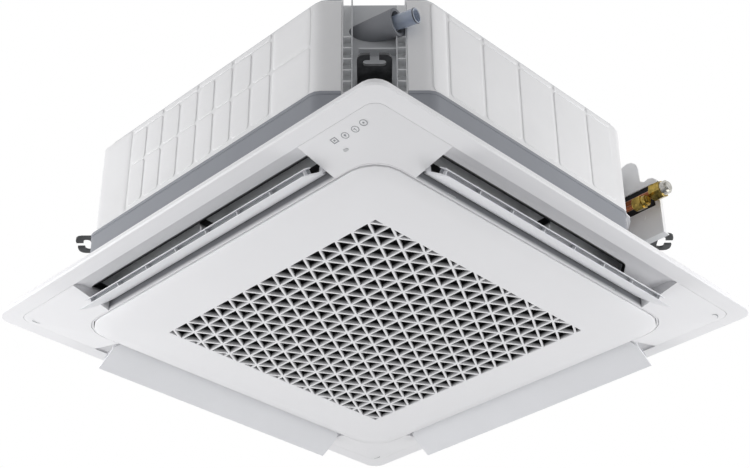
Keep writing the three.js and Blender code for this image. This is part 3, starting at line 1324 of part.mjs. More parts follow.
function hangerBrackets() {
  CORNERS.forEach((corner, turns) => {
    const root = HANGER_ROOTS[turns];
    const plan = rounded([
      [root, -HANGER_HALF, 0.5],
      [HANGER_REACH, -HANGER_HALF, 12],
      [HANGER_REACH, HANGER_HALF, 12],
      [root, HANGER_HALF, 0.5],
    ], 3);
    const slot = rounded([
      [HANGER_BOLT_REACH - 7, -18, 6],
      [HANGER_BOLT_REACH + 7, -18, 6],
      [HANGER_BOLT_REACH + 7, 18, 6],
      [HANGER_BOLT_REACH - 7, 18, 6],
    ], 3);
    const plate = prism(plan, HANGER_Z, HANGER_Z + HANGER_SHEET);
    const [below, above] = [HANGER_Z - 1, HANGER_Z + HANGER_SHEET + 1];
    const mouth = block(HANGER_BOLT_REACH, HANGER_REACH + 1, -7, 7, below, above);
    const flange = block(root, root + 3, -HANGER_HALF, HANGER_HALF, HANGER_Z - HANGER_LUG, HANGER_Z + HANGER_SHEET);
    const bracket = cut(join(plate, flange), prism(slot, below, above), mouth);
    place(`hanger_bracket_${corner}`, quarterTurn(toNear(bracket), turns), BLACK_STEEL);
  });
}

// ---------------------------------------------------------------- the whole unit
panelFrame();
cornerCovers();
displayButton();
SIDES.forEach(louvre);
SIDES.forEach(louvreMotor);
frontGrille();
grilleHinges();
grilleCatches();
airFilter();
baseBand();
bodyCasing();
topSheet();
insulation();
drainCornerFrame();
drainPieces();
drainPump();
floatSwitch();
pumpHose();
turboFan();
fanMotor();
bellMouth();
evaporatorCoil();
drainPan();
refrigerantLines();
pipingCover();
controlBox();
hangerBrackets();

export default group;
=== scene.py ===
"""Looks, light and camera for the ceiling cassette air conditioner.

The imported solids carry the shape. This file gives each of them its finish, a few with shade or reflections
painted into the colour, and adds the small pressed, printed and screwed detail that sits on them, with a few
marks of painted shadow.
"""

from __future__ import annotations

import json
import logging
import math
from dataclasses import dataclass, field
from enum import Enum
from typing import Any, Iterable, Sequence

import bmesh
import bpy
from mathutils import Matrix, Vector

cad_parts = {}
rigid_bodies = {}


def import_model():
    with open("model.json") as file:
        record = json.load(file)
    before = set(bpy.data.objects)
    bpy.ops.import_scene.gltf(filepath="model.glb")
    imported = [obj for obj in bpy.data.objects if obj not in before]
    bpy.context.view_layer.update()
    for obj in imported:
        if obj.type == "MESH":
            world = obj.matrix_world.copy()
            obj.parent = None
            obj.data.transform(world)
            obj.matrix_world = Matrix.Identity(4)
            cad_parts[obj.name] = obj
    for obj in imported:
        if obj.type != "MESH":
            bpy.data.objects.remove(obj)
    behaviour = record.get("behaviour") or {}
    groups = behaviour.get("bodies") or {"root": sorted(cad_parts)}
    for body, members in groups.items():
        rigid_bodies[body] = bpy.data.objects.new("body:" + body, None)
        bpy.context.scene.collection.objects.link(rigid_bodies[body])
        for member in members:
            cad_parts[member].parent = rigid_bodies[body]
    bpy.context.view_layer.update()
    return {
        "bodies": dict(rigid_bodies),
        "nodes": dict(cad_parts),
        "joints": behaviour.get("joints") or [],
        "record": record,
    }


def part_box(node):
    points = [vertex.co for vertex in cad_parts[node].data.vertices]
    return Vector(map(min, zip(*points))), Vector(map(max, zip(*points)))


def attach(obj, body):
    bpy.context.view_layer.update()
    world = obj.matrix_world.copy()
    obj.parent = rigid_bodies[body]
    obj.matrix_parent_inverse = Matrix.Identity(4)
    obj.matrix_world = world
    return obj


LOG = logging.getLogger("cassette")
MM = 0.001
SIDES = ("near_left", "near_right", "far_right", "far_left")  # each a quarter turn on from the last
ACROSS = Vector((1, 0, 0))
UP = Vector((0, 0, 1))

Flat = tuple[float, float]
Point = tuple[float, float, float]
Loop = Sequence[Sequence[float]]


def linear(code: str) -> tuple[float, float, float, float]:
    """Turns an sRGB hex colour to linear light.

    Args:
        code: six hex digits, such as "e6e7e9".

    Returns:
        Red, green, blue and an alpha of 1.
    """
    parts = [int(code[i : i + 2], 16) / 255 for i in (0, 2, 4)]
    red, green, blue = (c / 12.92 if c <= 0.04045 else ((c + 0.055) / 1.055) ** 2.4 for c in parts)
    return red, green, blue, 1.0


def add(
    tree: bpy.types.NodeTree,
    kind: str,
    sockets: dict[Any, Any] | None = None,
    **settings: Any,
) -> bpy.types.Node:
    """Adds one node, sets it and links it.

    Args:
        tree: the node tree.
        kind: the node's type without its "ShaderNode" prefix.
        sockets: input name or index to a value, or to an output socket to link.
        settings: the node's own properties.

    Returns:
        The new node.
    """
    node = tree.nodes.new("ShaderNode" + kind)
    for name, value in settings.items():
        setattr(node, name, value)
    for name, value in (sockets or {}).items():
        if isinstance(value, bpy.types.NodeSocket):
            tree.links.new(value, node.inputs[name])
        else:
            node.inputs[name].default_value = value
    return node


# ---------------------------------------------------------------- finishes
NOISE_SPAN = (0.3, 0.7)  # the part of its range that Blender's noise mostly fills
MOTTLE_LIFT = 0.5  # how far light clouds stray, as a share of the dark ones
BUMP_STRENGTH = 0.6
COAT_ROUGHNESS = 0.12
GLOSS_PATCH = 45.4545  # size of a patch of even gloss, in millimetres
GLOSS_SPREAD = (-0.04, 0.05)
DUST_COLOUR = "a8a49c"
DUST_SLOPE = 0.5  # dust stays where the normal points up more than this


class Grain(Enum):
    """How a surface was made, which sets its fine relief."""

    MOULDED = "spark-eroded mould"
    BEADED = "expanded foam beads"
    FOAMED = "closed-cell foam"
    SPANGLED = "hot-dip zinc spangle"
    COATED = "baked coating over sheet"
    DRAWN = "drawn or turned metal"
    FINNED = "stacked fins"
    WOVEN = "woven net"


@dataclass(frozen=True)
class Finish:
    """One real material and how it was worked.

    Sizes are in millimetres on the object.
    """

    name: str
    colour: str
    roughness: float
    grain: Grain
    metallic: float = 0.0
    ior: float = 1.5
    pitch: float = 1.2
    relief: float = 0.04
    mottle: float = 0.03
    cloud: float = 110.0
    coat: float = 0.0
    clear: float = 0.0
    dust: float = 0.0

    def build(self) -> bpy.types.Material:
        """Makes the material.

        Returns:
            A node-based material whose pattern keeps its real size.
        """
        material = bpy.data.materials.new(self.name)
        material.use_nodes = True
        tree = material.node_tree
        shader = tree.nodes["Principled BSDF"]
        shader.inputs["IOR"].default_value = self.ior
        shader.inputs["Metallic"].default_value = self.metallic
        shader.inputs["Coat Weight"].default_value = self.coat
        shader.inputs["Coat Roughness"].default_value = COAT_ROUGHNESS
        shader.inputs["Transmission Weight"].default_value = self.clear
        place = add(tree, "TexCoord").outputs["Object"]
        height = self.height(tree, place)
        bump = add(
            tree,
            "Bump",
            {"Strength": BUMP_STRENGTH, "Distance": self.relief * MM, "Height": height},
        )
        tree.links.new(self.paint(tree, place), shader.inputs["Base Color"])
        tree.links.new(self.gloss(tree, place), shader.inputs["Roughness"])
        tree.links.new(bump.outputs["Normal"], shader.inputs["Normal"])
        return material

    def paint(self, tree: bpy.types.NodeTree, place: Any) -> Any:
        """Base colour with slow unevenness: the real tone of most surfaces, and painted reflections on the
        brass and the nickel.

        Args:
            tree: the material's node tree.
            place: coordinates in metres.

        Returns:
            A colour socket.
        """
        cloud = add(
            tree,
            "TexNoise",
            {"Vector": place, "Scale": 1.0 / (self.cloud * MM), "Detail": 5.0, "Roughness": 0.6},
        )
        tone = add(
            tree,
            "MapRange",
            {
                "Value": cloud.outputs["Fac"],
                "From Min": NOISE_SPAN[0],
                "From Max": NOISE_SPAN[1],
                "To Min": 1.0 - self.mottle,
                "To Max": 1.0 + self.mottle * MOTTLE_LIFT,
            },
        )
        base = add(
            tree,
            "VectorMath",
            {0: linear(self.colour)[:3], "Scale": tone.outputs["Result"]},
            operation="SCALE",
        )
        if not self.dust:
            return base.outputs["Vector"]
        return self.soil(tree, base.outputs["Vector"])

    def soil(self, tree: bpy.types.NodeTree, colour: Any) -> Any:
        """Pale dust on what faces up, as it gathers in a ceiling void.

        Args:
            tree: the material's node tree.
            colour: the clean colour.

        Returns:
            A colour socket.
        """
        facing = add(tree, "SeparateXYZ", {0: add(tree, "NewGeometry").outputs["Normal"]})
        amount = add(
            tree,
            "MapRange",
            {"Value": facing.outputs["Z"], "From Min": DUST_SLOPE, "To Max": self.dust},
        )
        mixed = add(
            tree,
            "Mix",
            {"Factor": amount.outputs["Result"], 6: colour, 7: linear(DUST_COLOUR)},
            data_type="RGBA",
        )
        return mixed.outputs[2]

    def gloss(self, tree: bpy.types.NodeTree, place: Any) -> Any:
        """Roughness, a little uneven from handling and mould flow.

        Args:
            tree: the material's node tree.
            place: coordinates in metres.

        Returns:
            A value socket.
        """
        cloud = add(
            tree,
            "TexNoise",
            {"Vector": place, "Scale": 1.0 / (GLOSS_PATCH * MM), "Detail": 4.0, "Roughness": 0.55},
        )
        span = add(
            tree,
            "MapRange",
            {
                "Value": cloud.outputs["Fac"],
                "From Min": NOISE_SPAN[0],
                "From Max": NOISE_SPAN[1],
                "To Min": self.roughness + GLOSS_SPREAD[0],
                "To Max": self.roughness + GLOSS_SPREAD[1],
            },
        )
        return span.outputs["Result"]

    def height(self, tree: bpy.types.NodeTree, place: Any) -> Any:
        """Fine relief of the surface.

        Args:
            tree: the material's node tree.
            place: coordinates in metres.

        Returns:
            A value socket.
        """
        rate = 1.0 / (self.pitch * MM)
        if self.grain in (Grain.BEADED, Grain.SPANGLED):
            cells = add(tree, "TexVoronoi", {"Vector": place, "Scale": rate})
            return cells.outputs["Distance"]
        if self.grain in (Grain.FINNED, Grain.WOVEN):
            axes = add(tree, "SeparateXYZ", {0: place})
            along = [axes.outputs["X"], axes.outputs["Y"]]
            if self.grain is Grain.FINNED:
                # fins stand across both straight runs of the coil, so X + Y counts them
                total = add(tree, "Math", {0: along[0], 1: along[1]}, operation="ADD")
                return self.wave(tree, total.outputs[0], rate)
            threads = [self.wave(tree, way, rate) for way in along]
            crossed = add(tree, "Math", {0: threads[0], 1: threads[1]}, operation="MAXIMUM")
            return crossed.outputs[0]
        noise = add(tree, "TexNoise", {"Vector": place, "Scale": rate, "Detail": 3.0, "Roughness": 0.6})
        return noise.outputs["Fac"]

    @staticmethod
    def wave(tree: bpy.types.NodeTree, way: Any, rate: float) -> Any:
        """Even ridges along one direction.

        Args:
            tree: the material's node tree.
            way: distance along that direction, in metres.
            rate: ridges to the metre.

        Returns:
            A value socket from -1 to 1.
        """
        turns = add(tree, "Math", {0: way, 1: 2 * math.pi * rate}, operation="MULTIPLY")
        return add(tree, "Math", {0: turns.outputs[0]}, operation="SINE").outputs[0]


@dataclass(frozen=True)
class PanelPlastic(Finish):
    """Moulded panel with painted shade deep in its outlet ducts and up the ring wall round the grille."""

    # Painted shade: near black deep in the outlet ducts, and mid grey up the ring wall round the grille.
    duct_shade: str = "19191b"
    ring_wall_shade: str = "808185"
    ring_out: Flat = (368.5, 366.5)  # where the panel turns into the ring wall round the grille
    ring_rise: Flat = (-27.4, -21.0)  # from the wall's lower edge, left white, up to where its painted shade is full
    throat_out: float = 408.0
    throat_rise: Flat = (-1.0, 5.0)  # from the bare duct up to where its painted shade is full

    def paint(self, tree: bpy.types.NodeTree, place: Any) -> Any:
        """White panel colour that gives way to painted shade up the ring wall and deep in the ducts.

        Args:
            tree: the material's node tree.
            place: coordinates in metres.

        Returns:
            A colour socket.
        """
        white = Finish.paint(self, tree, place)
        axes = add(tree, "SeparateXYZ", {0: place})
        reach = [
            add(tree, "Math", {0: axes.outputs[letter]}, operation="ABSOLUTE").outputs[0]
            for letter in "XY"
        ]
        out = add(tree, "Math", {0: reach[0], 1: reach[1]}, operation="MAXIMUM").outputs[0]
        inner, rise, deep = (
            add(
                tree,
                "MapRange",
                {"Value": value, "From Min": start * MM, "From Max": end * MM},
            ).outputs["Result"]
            for value, (start, end) in (
                (out, self.ring_out),
                (axes.outputs["Z"], self.ring_rise),
                (axes.outputs["Z"], self.throat_rise),
            )
        )
        inside = add(tree, "Math", {0: out, 1: self.throat_out * MM}, operation="LESS_THAN")
        colour = white
        # painted shade, first up the ring wall, then deep in the ducts
        for first, second, shade in (
            (inner, rise, self.ring_wall_shade),
            (deep, inside.outputs[0], self.duct_shade),
        ):
            share = add(tree, "Math", {0: first, 1: second}, operation="MULTIPLY")
            colour = add(
                tree,
                "Mix",
                {"Factor": share.outputs[0], 6: colour, 7: linear(shade)},
                data_type="RGBA",
            ).outputs[2]
        return colour


@dataclass(frozen=True)
class GrillePlastic(Finish):
    """Moulded grille whose lattice walls darken with depth, as painted shade."""

    lattice_shade: str = "242426"
    lattice_half: float = 258.0
    lattice_rise: Flat = (-39.4, -32.5)  # from the white face to the full painted shade on the walls behind it

    def paint(self, tree: bpy.types.NodeTree, place: Any) -> Any:
        """White face colour with painted shade that darkens up the lattice walls.

        Args:
            tree: the material's node tree.
            place: coordinates in metres.

        Returns:
            A colour socket.
        """
        white = Finish.paint(self, tree, place)
        axes = add(tree, "SeparateXYZ", {0: place})
        reach = [
            add(tree, "Math", {0: axes.outputs[letter]}, operation="ABSOLUTE").outputs[0]
            for letter in "XY"
        ]
        inside = [
            add(tree, "Math", {0: value, 1: self.lattice_half * MM}, operation="LESS_THAN").outputs[0]
            for value in reach
        ]
        lattice = add(tree, "Math", {0: inside[0], 1: inside[1]}, operation="MULTIPLY")
        # painted shade, deepening from the face up the lattice walls
        depth = add(
            tree,
            "MapRange",
            {
                "Value": axes.outputs["Z"],
                "From Min": self.lattice_rise[0] * MM,
                "From Max": self.lattice_rise[1] * MM,
            },
        )
        amount = add(tree, "Math", {0: lattice.outputs[0], 1: depth.outputs["Result"]}, operation="MULTIPLY")
        shaded = add(
            tree,
            "Mix",
            {"Factor": amount.outputs[0], 6: white, 7: linear(self.lattice_shade)},
            data_type="RGBA",
        )
        return shaded.outputs[2]


@dataclass(frozen=True)
class FramePlastic(Finish):
    """Moulded corner frame with paler foam in the ribbed bays at its two sides."""

    bay_colour: str = "ecedee"
    plate_at: float = 36.4

    def paint(self, tree: bpy.types.NodeTree, place: Any) -> Any:
        """Grey between the two upright plates and pale outside them.

        Args:
            tree: the material's node tree.
            place: coordinates in metres.

        Returns:
            A colour socket.
        """
        grey = Finish.paint(self, tree, place)
        axes = add(tree, "SeparateXYZ", {0: place})
        # the frame stands on the corner's diagonal, so X + Y is 0 on its middle line
        across = add(tree, "Math", {0: axes.outputs["X"], 1: axes.outputs["Y"]}, operation="ADD")
        away = add(tree, "Math", {0: across.outputs[0]}, operation="ABSOLUTE")
        bay = add(
            tree,
            "Math",
            {0: away.outputs[0], 1: self.plate_at * math.sqrt(2) * MM},
            operation="GREATER_THAN",
        )
        mixed = add(
            tree,
            "Mix",
            {"Factor": bay.outputs[0], 6: grey, 7: linear(self.bay_colour)},
            data_type="RGBA",
        )
        return mixed.outputs[2]


# High-impact polystyrene from a lightly spark-eroded mould: an even, soft off-white sheen.
# The grit of such a mould is about 0.3 mm. Here and on the ABS and polypropylene parts it is
# drawn at about 1 mm so that it shows.
PANEL = PanelPlastic(
    "moulded_hips_panel", "eeeef0", 0.42, Grain.MOULDED, pitch=0.9, relief=0.02, mottle=0.012
)
COVER = Finish(
    "moulded_hips_cover", "ececee", 0.4, Grain.MOULDED, pitch=0.9, relief=0.02, mottle=0.012
)
GRILLE = GrillePlastic(
    "moulded_hips_grille", "eeeef0", 0.4, Grain.MOULDED, pitch=0.9, relief=0.02, mottle=0.012
)
# Thin ABS louvres, a shade greyer than the panel, with slow changes of tone along the blade.
LOUVRE = Finish(
    "moulded_abs_louvre", "e4e5e8", 0.38, Grain.MOULDED, pitch=1.0, relief=0.02, mottle=0.02
)
# White polystyrene foam with fused beads about 3 mm across: dull, with a faint pebbled relief.
CASING = Finish(
    "skinned_polystyrene_foam", "f0f0f1", 0.72, Grain.BEADED,
    pitch=3.2, relief=0.12, mottle=0.03, dust=0.15,
)
PAN = Finish(
    "polystyrene_foam_pan", "e9ebed", 0.75, Grain.BEADED, pitch=3.2, relief=0.15, mottle=0.03
)
# Coated steel band round the foot of the body: flat mid grey with slight orange peel.
BAND = Finish(
    "coated_steel_band", "8f9299", 0.5, Grain.COATED,
    pitch=2.4, relief=0.02, mottle=0.03, dust=0.2,
)
# Grey ABS of the fan, the louvre motors and small parts: plain and half matt.
GREY_ABS = Finish(
    "moulded_grey_abs", "c6c7c9", 0.5, Grain.MOULDED, pitch=1.0, relief=0.03, mottle=0.03
)
# Pale coated steel plate behind the pipe connections: smooth, with only faint orange peel.
PIPE_COVER = Finish(
    "pale_coated_pipe_cover", "f3f4f5", 0.4, Grain.COATED, pitch=3.0, relief=0.01, mottle=0.05
)
# Grey ABS of the corner frame: half matt, a little clouded by handling.
FRAME_ABS = FramePlastic(
    "moulded_corner_frame_abs", "c2c4c7", 0.5, Grain.MOULDED,
    pitch=1.2, relief=0.03, mottle=0.05,
)
# Near black and half matt: a ring painted at the drain pipe's root as the shadow inside the sleeve's hollow,
# and the hard dark rubber of the pipe's sealing lip.
ROOT_SHADOW_AND_LIP = Finish(
    "root_painted_shadow_and_lip_rubber", "2c2f36", 0.5, Grain.MOULDED, pitch=1.0, relief=0.03, mottle=0.1
)
# ABS webs behind the small upper vane, painted a middle grey as the shade under the vane.
VANE_WEB_SHADE = Finish(
    "vane_web_painted_shade", "a3a5a9", 0.5, Grain.MOULDED, pitch=1.0, relief=0.03, mottle=0.03
)
# Black-passivated pressed steel: near black with worn, slightly brighter patches.
BRACKET = Finish(
    "black_passivated_steel", "4e4f51", 0.3, Grain.COATED, metallic=0.7,
    pitch=1.6, relief=0.03, mottle=0.5, cloud=16.0,
)
# Hot-dip galvanised sheet: pale grey metal with spangle about 9 mm across, dusty on top.
ZINC = Finish(
    "hot_dip_zinc_sheet", "b9bdc0", 0.36, Grain.SPANGLED, metallic=0.9,
    pitch=9.0, relief=0.02, mottle=0.12, dust=0.25,
)
# Black polypropylene of the bell mouth: dark, with a waxy half gloss.
BLACK_PP = Finish(
    "moulded_black_polypropylene", "1d1d1f", 0.55, Grain.MOULDED,
    pitch=1.2, relief=0.04, mottle=0.1,
)
# Nylon net of the air filter: black and matt. Its threads are about 1 mm apart and are drawn
# at 2.4 mm so that they show.
NET = Finish(
    "woven_nylon_filter_net", "121213", 0.7, Grain.WOVEN, pitch=2.4, relief=0.5, mottle=0.08
)
# Neoprene foam seal: black, open and without shine.
SEAL = Finish(
    "black_neoprene_foam", "18181a", 0.85, Grain.FOAMED, pitch=1.5, relief=0.2, mottle=0.1
)
# Nitrile foam of sleeve, hose and linings: grey and matt with a slight skin.
SLEEVE = Finish(
    "grey_nitrile_foam", "808287", 0.8, Grain.FOAMED, pitch=1.6, relief=0.15, mottle=0.12
)
# Aluminium fins: bright and finely lined. They stand about 1.5 mm apart and are drawn at 3 mm.
FINS = Finish(
    "aluminium_fin_pack", "c6c9cb", 0.4, Grain.FINNED, metallic=0.8,
    pitch=3.0, relief=0.8, mottle=0.05,
)
# Drawn copper tube, tarnished: warm brown with brighter places. The marks of drawing and milling
# are far under a millimetre and are drawn at 3 to 4 mm here, on the brass and on the nickel.
COPPER = Finish(
    "drawn_copper_tube", "9c6040", 0.3, Grain.DRAWN, metallic=1.0,
    pitch=3.0, relief=0.02, mottle=0.5, cloud=14.0,
)
# Milled brass of nuts and plug: yellow and shiny, with strong dark and bright clouds painted in as
# reflections.
BRASS = Finish(
    "milled_flare_brass", "b39a52", 0.2, Grain.DRAWN, metallic=1.0,
    pitch=4.0, relief=0.3, mottle=0.75, cloud=9.0,
)
# Nickel-plated brass cap: pale warm metal with soft darker places painted in as reflections.
NICKEL = Finish(
    "nickel_plated_cap", "c4c2bc", 0.22, Grain.DRAWN, metallic=1.0,
    pitch=3.0, relief=0.1, mottle=0.35, cloud=9.0,
)
# Cloudy soft PVC pipe: bluish, lets some light through and takes a wet highlight.
PVC = Finish(
    "cloudy_pvc_pipe", "b7c1d2", 0.18, Grain.MOULDED, ior=1.53,
    pitch=5.0, relief=0.05, mottle=0.05, clear=0.45,
)
# Solder-masked circuit board: green under a clear lacquer.
BOARD = Finish(
    "solder_masked_board", "2f5d3c", 0.35, Grain.MOULDED,
    pitch=2.0, relief=0.1, mottle=0.15, coat=0.4,
)
# Flat mid grey: pad-printed ink of the display marks, and painted shadow in the corner covers' finger grips.
PRINT_AND_NOTCH_SHADOW = Finish("grey_print_and_painted_notch_shadow", "94979b", 0.5, Grain.MOULDED, pitch=0.8, relief=0.01)
# Zinc-plated screws: small and bright.
SCREW = Finish(
    "zinc_plated_screw", "b5b6b3", 0.3, Grain.DRAWN, metallic=1.0,
    pitch=0.8, relief=0.02, mottle=0.1,
)
# Painted studio floor: near white and matt. Its grit is drawn at 8 mm, as it is metres away.
FLOOR = Finish("pale_studio_floor", "f2f2f2", 0.8, Grain.MOULDED, pitch=8, relief=0.05)

# A node takes the first finish whose key is part of its name.
NODE_FINISHES: dict[str, Finish] = {
    "panel_frame": PANEL,
    "corner_cover": COVER,
    "front_grille": GRILLE,
    "_louvre_motor": GREY_ABS,
    "_louvre": LOUVRE,
    "body_casing": CASING,
    "drain_pan": PAN,
    "base_band": BAND,
    "drain_corner_frame": FRAME_ABS,
    "piping_cover": PIPE_COVER,
    "piping_seal": SEAL,
    "hanger_bracket": BRACKET,
    "fan_motor": BRACKET,
    "bell_mouth": BLACK_PP,
    "air_filter": NET,
    "side_insulation": SLEEVE,
    "top_insulation": SLEEVE,
    "drain_sleeve": SLEEVE,
    "pump_hose": SLEEVE,
    "drain_outlet_pipe": PVC,
    "evaporator_coil": FINS,
    "coil_end_far": COPPER,
    "_pipe": COPPER,
    "_flare_nut": BRASS,
    "liquid_plug": BRASS,
    "_plug": NICKEL,
    "control_board": BOARD,
    "drain_pump": COVER,
    "float_ring": COVER,
    "top_sheet": ZINC,
    "pump_support": ZINC,
    "fan_nut": ZINC,
    "motor_bracket": ZINC,
    "coil_end_right": ZINC,
    "control_box": ZINC,
    "turbo_fan": GREY_ABS,
}


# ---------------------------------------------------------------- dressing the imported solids
@dataclass
class Dresser:
    """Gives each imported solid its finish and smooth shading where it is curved."""

    nodes: dict[str, bpy.types.Object]
    smooth_angle: float = 32.0
    weld: float = 0.01
    made: dict[str, bpy.types.Material] = field(default_factory=dict)

    def material(self, finish: Finish) -> bpy.types.Material:
        """Makes a finish's material the first time it is asked for.

        Args:
            finish: the finish.

        Returns:
            Its one material.
        """
        if finish.name not in self.made:
            self.made[finish.name] = finish.build()
        return self.made[finish.name]

    def finish_for(self, name: str) -> Finish:
        """Picks the finish whose key is in the node's name.

        Args:
            name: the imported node's name.

        Returns:
            The first finish that fits, or grey moulded plastic.
        """
        for key, finish in NODE_FINISHES.items():
            if key in name:
                return finish
        return GREY_ABS

    def dress(self) -> None:
        """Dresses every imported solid."""
        for name, node in sorted(self.nodes.items()):
            finish = self.finish_for(name)
            node.data.materials.clear()
            node.data.materials.append(self.material(finish))
            self.smooth(node)
            LOG.info("dressed %s in %s", name, finish.name)

    def smooth(self, node: bpy.types.Object) -> None:
        """Smooth shading up to an edge angle, without touching the mesh's points.

        Args:
            node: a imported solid.
        """
        mesh = node.data
        if "custom_normal" in mesh.attributes:
            mesh.attributes.remove(mesh.attributes["custom_normal"])
        mesh.shade_smooth()
        weld = node.modifiers.new("weld", "WELD")
        weld.merge_threshold = self.weld * MM
        split = node.modifiers.new("edges", "EDGE_SPLIT")
        split.split_angle = math.radians(self.smooth_angle)


# ---------------------------------------------------------------- mesh help
SHARP_ANGLE = 35.0  # an added piece's faces are shaded as one surface up to this
SAME_PLACE = 0.0001  # points closer than this are one, in millimetres
CORNER_STEPS = 3
EDGE_STEPS = 6
TIGHTEST = 0.2  # least corner radius of a pad's crown, in millimetres
ROUNDEST = 0.45  # most corner radius of a pad, as a share of its width or height


@dataclass
class Patch:
    """Collects closed shapes into one mesh, in millimetres."""

    points: list[list[float]] = field(default_factory=list)
    faces: list[list[int]] = field(default_factory=list)

    def add_loops(self, loops: Sequence[Loop]) -> list[list[int]]:
        """Adds closed loops of equal length and joins each to the next.

        Args:
            loops: loops of points.

        Returns:
            The indices of each loop's points.
        """
        indices = []
        for loop in loops:
            start = len(self.points)
            self.points.extend([list(p) for p in loop])
            indices.append([start + j for j in range(len(loop))])
        for first, second in zip(indices, indices[1:]):
            self.join(first, second)
        return indices

    def join(self, first: list[int], second: list[int]) -> None:
        """Adds the faces between two loops.

        Args:
            first: indices of one loop.
            second: indices of the other, as many.
        """
        for j in range(len(first)):
            k = (j + 1) % len(first)
            self.faces.append([first[j], first[k], second[k], second[j]])

    def add_rings(self, rings: Sequence[Loop]) -> None:
        """Joins closed loops of equal length into a capped shell.

        Args:
            rings: loops of points, the first and last of which are capped.
        """
        indices = self.add_loops(rings)
        self.faces.append(indices[0][::-1])
        self.faces.append(indices[-1])

    def add_band(self, loops: Sequence[Loop]) -> None:
        """Joins closed loops of equal length into a ring that closes on itself.

        Args:
            loops: loops of points round the ring's section.
        """
        indices = self.add_loops(loops)
        self.join(indices[-1], indices[0])

    def to_piece(
        self, name: str, material: bpy.types.Material, body: str, slot: str, smooth: bool = True
    ) -> None:
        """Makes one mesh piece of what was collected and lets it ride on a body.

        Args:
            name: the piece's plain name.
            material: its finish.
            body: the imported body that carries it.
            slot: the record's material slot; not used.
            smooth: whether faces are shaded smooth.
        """
        mesh = bpy.data.meshes.new(name)
        mesh.from_pydata([[c * MM for c in p] for p in self.points], [], self.faces)
        mesh.validate()
        shell = bmesh.new()
        shell.from_mesh(mesh)
        bmesh.ops.remove_doubles(shell, verts=shell.verts, dist=SAME_PLACE * MM)
        bmesh.ops.recalc_face_normals(shell, faces=shell.faces)
        shell.to_mesh(mesh)
        shell.free()
        if smooth:
            mesh.shade_smooth()
            mesh.set_sharp_from_angle(angle=math.radians(SHARP_ANGLE))
        piece = bpy.data.objects.new(name, mesh)
        bpy.context.scene.collection.objects.link(piece)
        piece.data.materials.append(material)
        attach(piece, body)
        LOG.info("made %s on %s", name, body)


def soft_pad(
    width: float, height: float, radius: float, proud: float, sink: float, run: float
) -> list[list[Point]]:
    """Loops of a raised pad with rounded corners and a rolled edge, flat in its own X and Y.

    Args:
        width: along X, in millimetres.
        height: along Y.
        radius: corner radius.
        proud: how far it stands out along Z.
        sink: how far it reaches below Z 0.
        run: width of the rolled edge for each millimetre of height.

    Returns:
        Loops from the buried foot to the crown.
    """
    radius = min(radius, ROUNDEST * width, ROUNDEST * height)

    def loop(inset: float, z: float) -> list[Point]:
        """One rounded rectangle at a level."""
        r = max(radius - inset, TIGHTEST)
        w = width / 2 - inset - r
        h = height / 2 - inset - r
        ring: list[Point] = []
        for cx, cy, start in ((w, h, 0), (-w, h, 90), (-w, -h, 180), (w, -h, 270)):
            for step in range(CORNER_STEPS + 1):
                angle = math.radians(start + 90 * step / CORNER_STEPS)
                ring.append((cx + r * math.cos(angle), cy + r * math.sin(angle), z))
        return ring

    turns = [math.radians(90 * i / EDGE_STEPS) for i in range(EDGE_STEPS + 1)]
    rolled = [loop(run * proud * (1 - math.cos(a)), proud * math.sin(a)) for a in turns]
    return [loop(0, -sink), *rolled]


def circle(radius: float, steps: int) -> list[Flat]:
    """Points of a circle about the origin.

    Args:
        radius: its radius.
        steps: how many points it has.

    Returns:
        The points in order.
    """
    angles = [2 * math.pi * i / steps for i in range(steps)]
    return [(radius * math.cos(a), radius * math.sin(a)) for a in angles]


def level(outline: Iterable[Flat], z: float) -> list[Point]:
    """The outline at one height."""
    return [(x, y, z) for x, y in outline]


def scaled(outline: Iterable[Flat], share: float) -> list[Flat]:
    """The outline made smaller or larger about the origin."""
    return [(x * share, y * share) for x, y in outline]


def placed(loops: Iterable[Iterable[Point]], frame: Matrix) -> list[list[list[float]]]:
    """Moves loops by a matrix whose lengths are in millimetres."""
    return [[list(frame @ Vector(p)) for p in loop] for loop in loops]


def quarter(turns: int) -> Matrix:
    """Turn about the vertical axis by quarter turns."""
    return Matrix.Rotation(math.radians(90 * turns), 4, "Z")


def basis(across: Vector, up: Vector, origin: Vector) -> Matrix:
    """Matrix with X across, Y up and Z out of a surface.

    Args:
        across: direction of X.
        up: direction of Y.
        origin: where it stands, in millimetres.

    Returns:
        The 4 by 4 matrix.
    """
    x = across.normalized()
    y = up.normalized()
    matrix = Matrix((x, y, x.cross(y))).transposed().to_4x4()
    matrix.translation = origin
    return matrix


# ---------------------------------------------------------------- casing
Run = tuple[Sequence[float], Sequence[Flat], float]


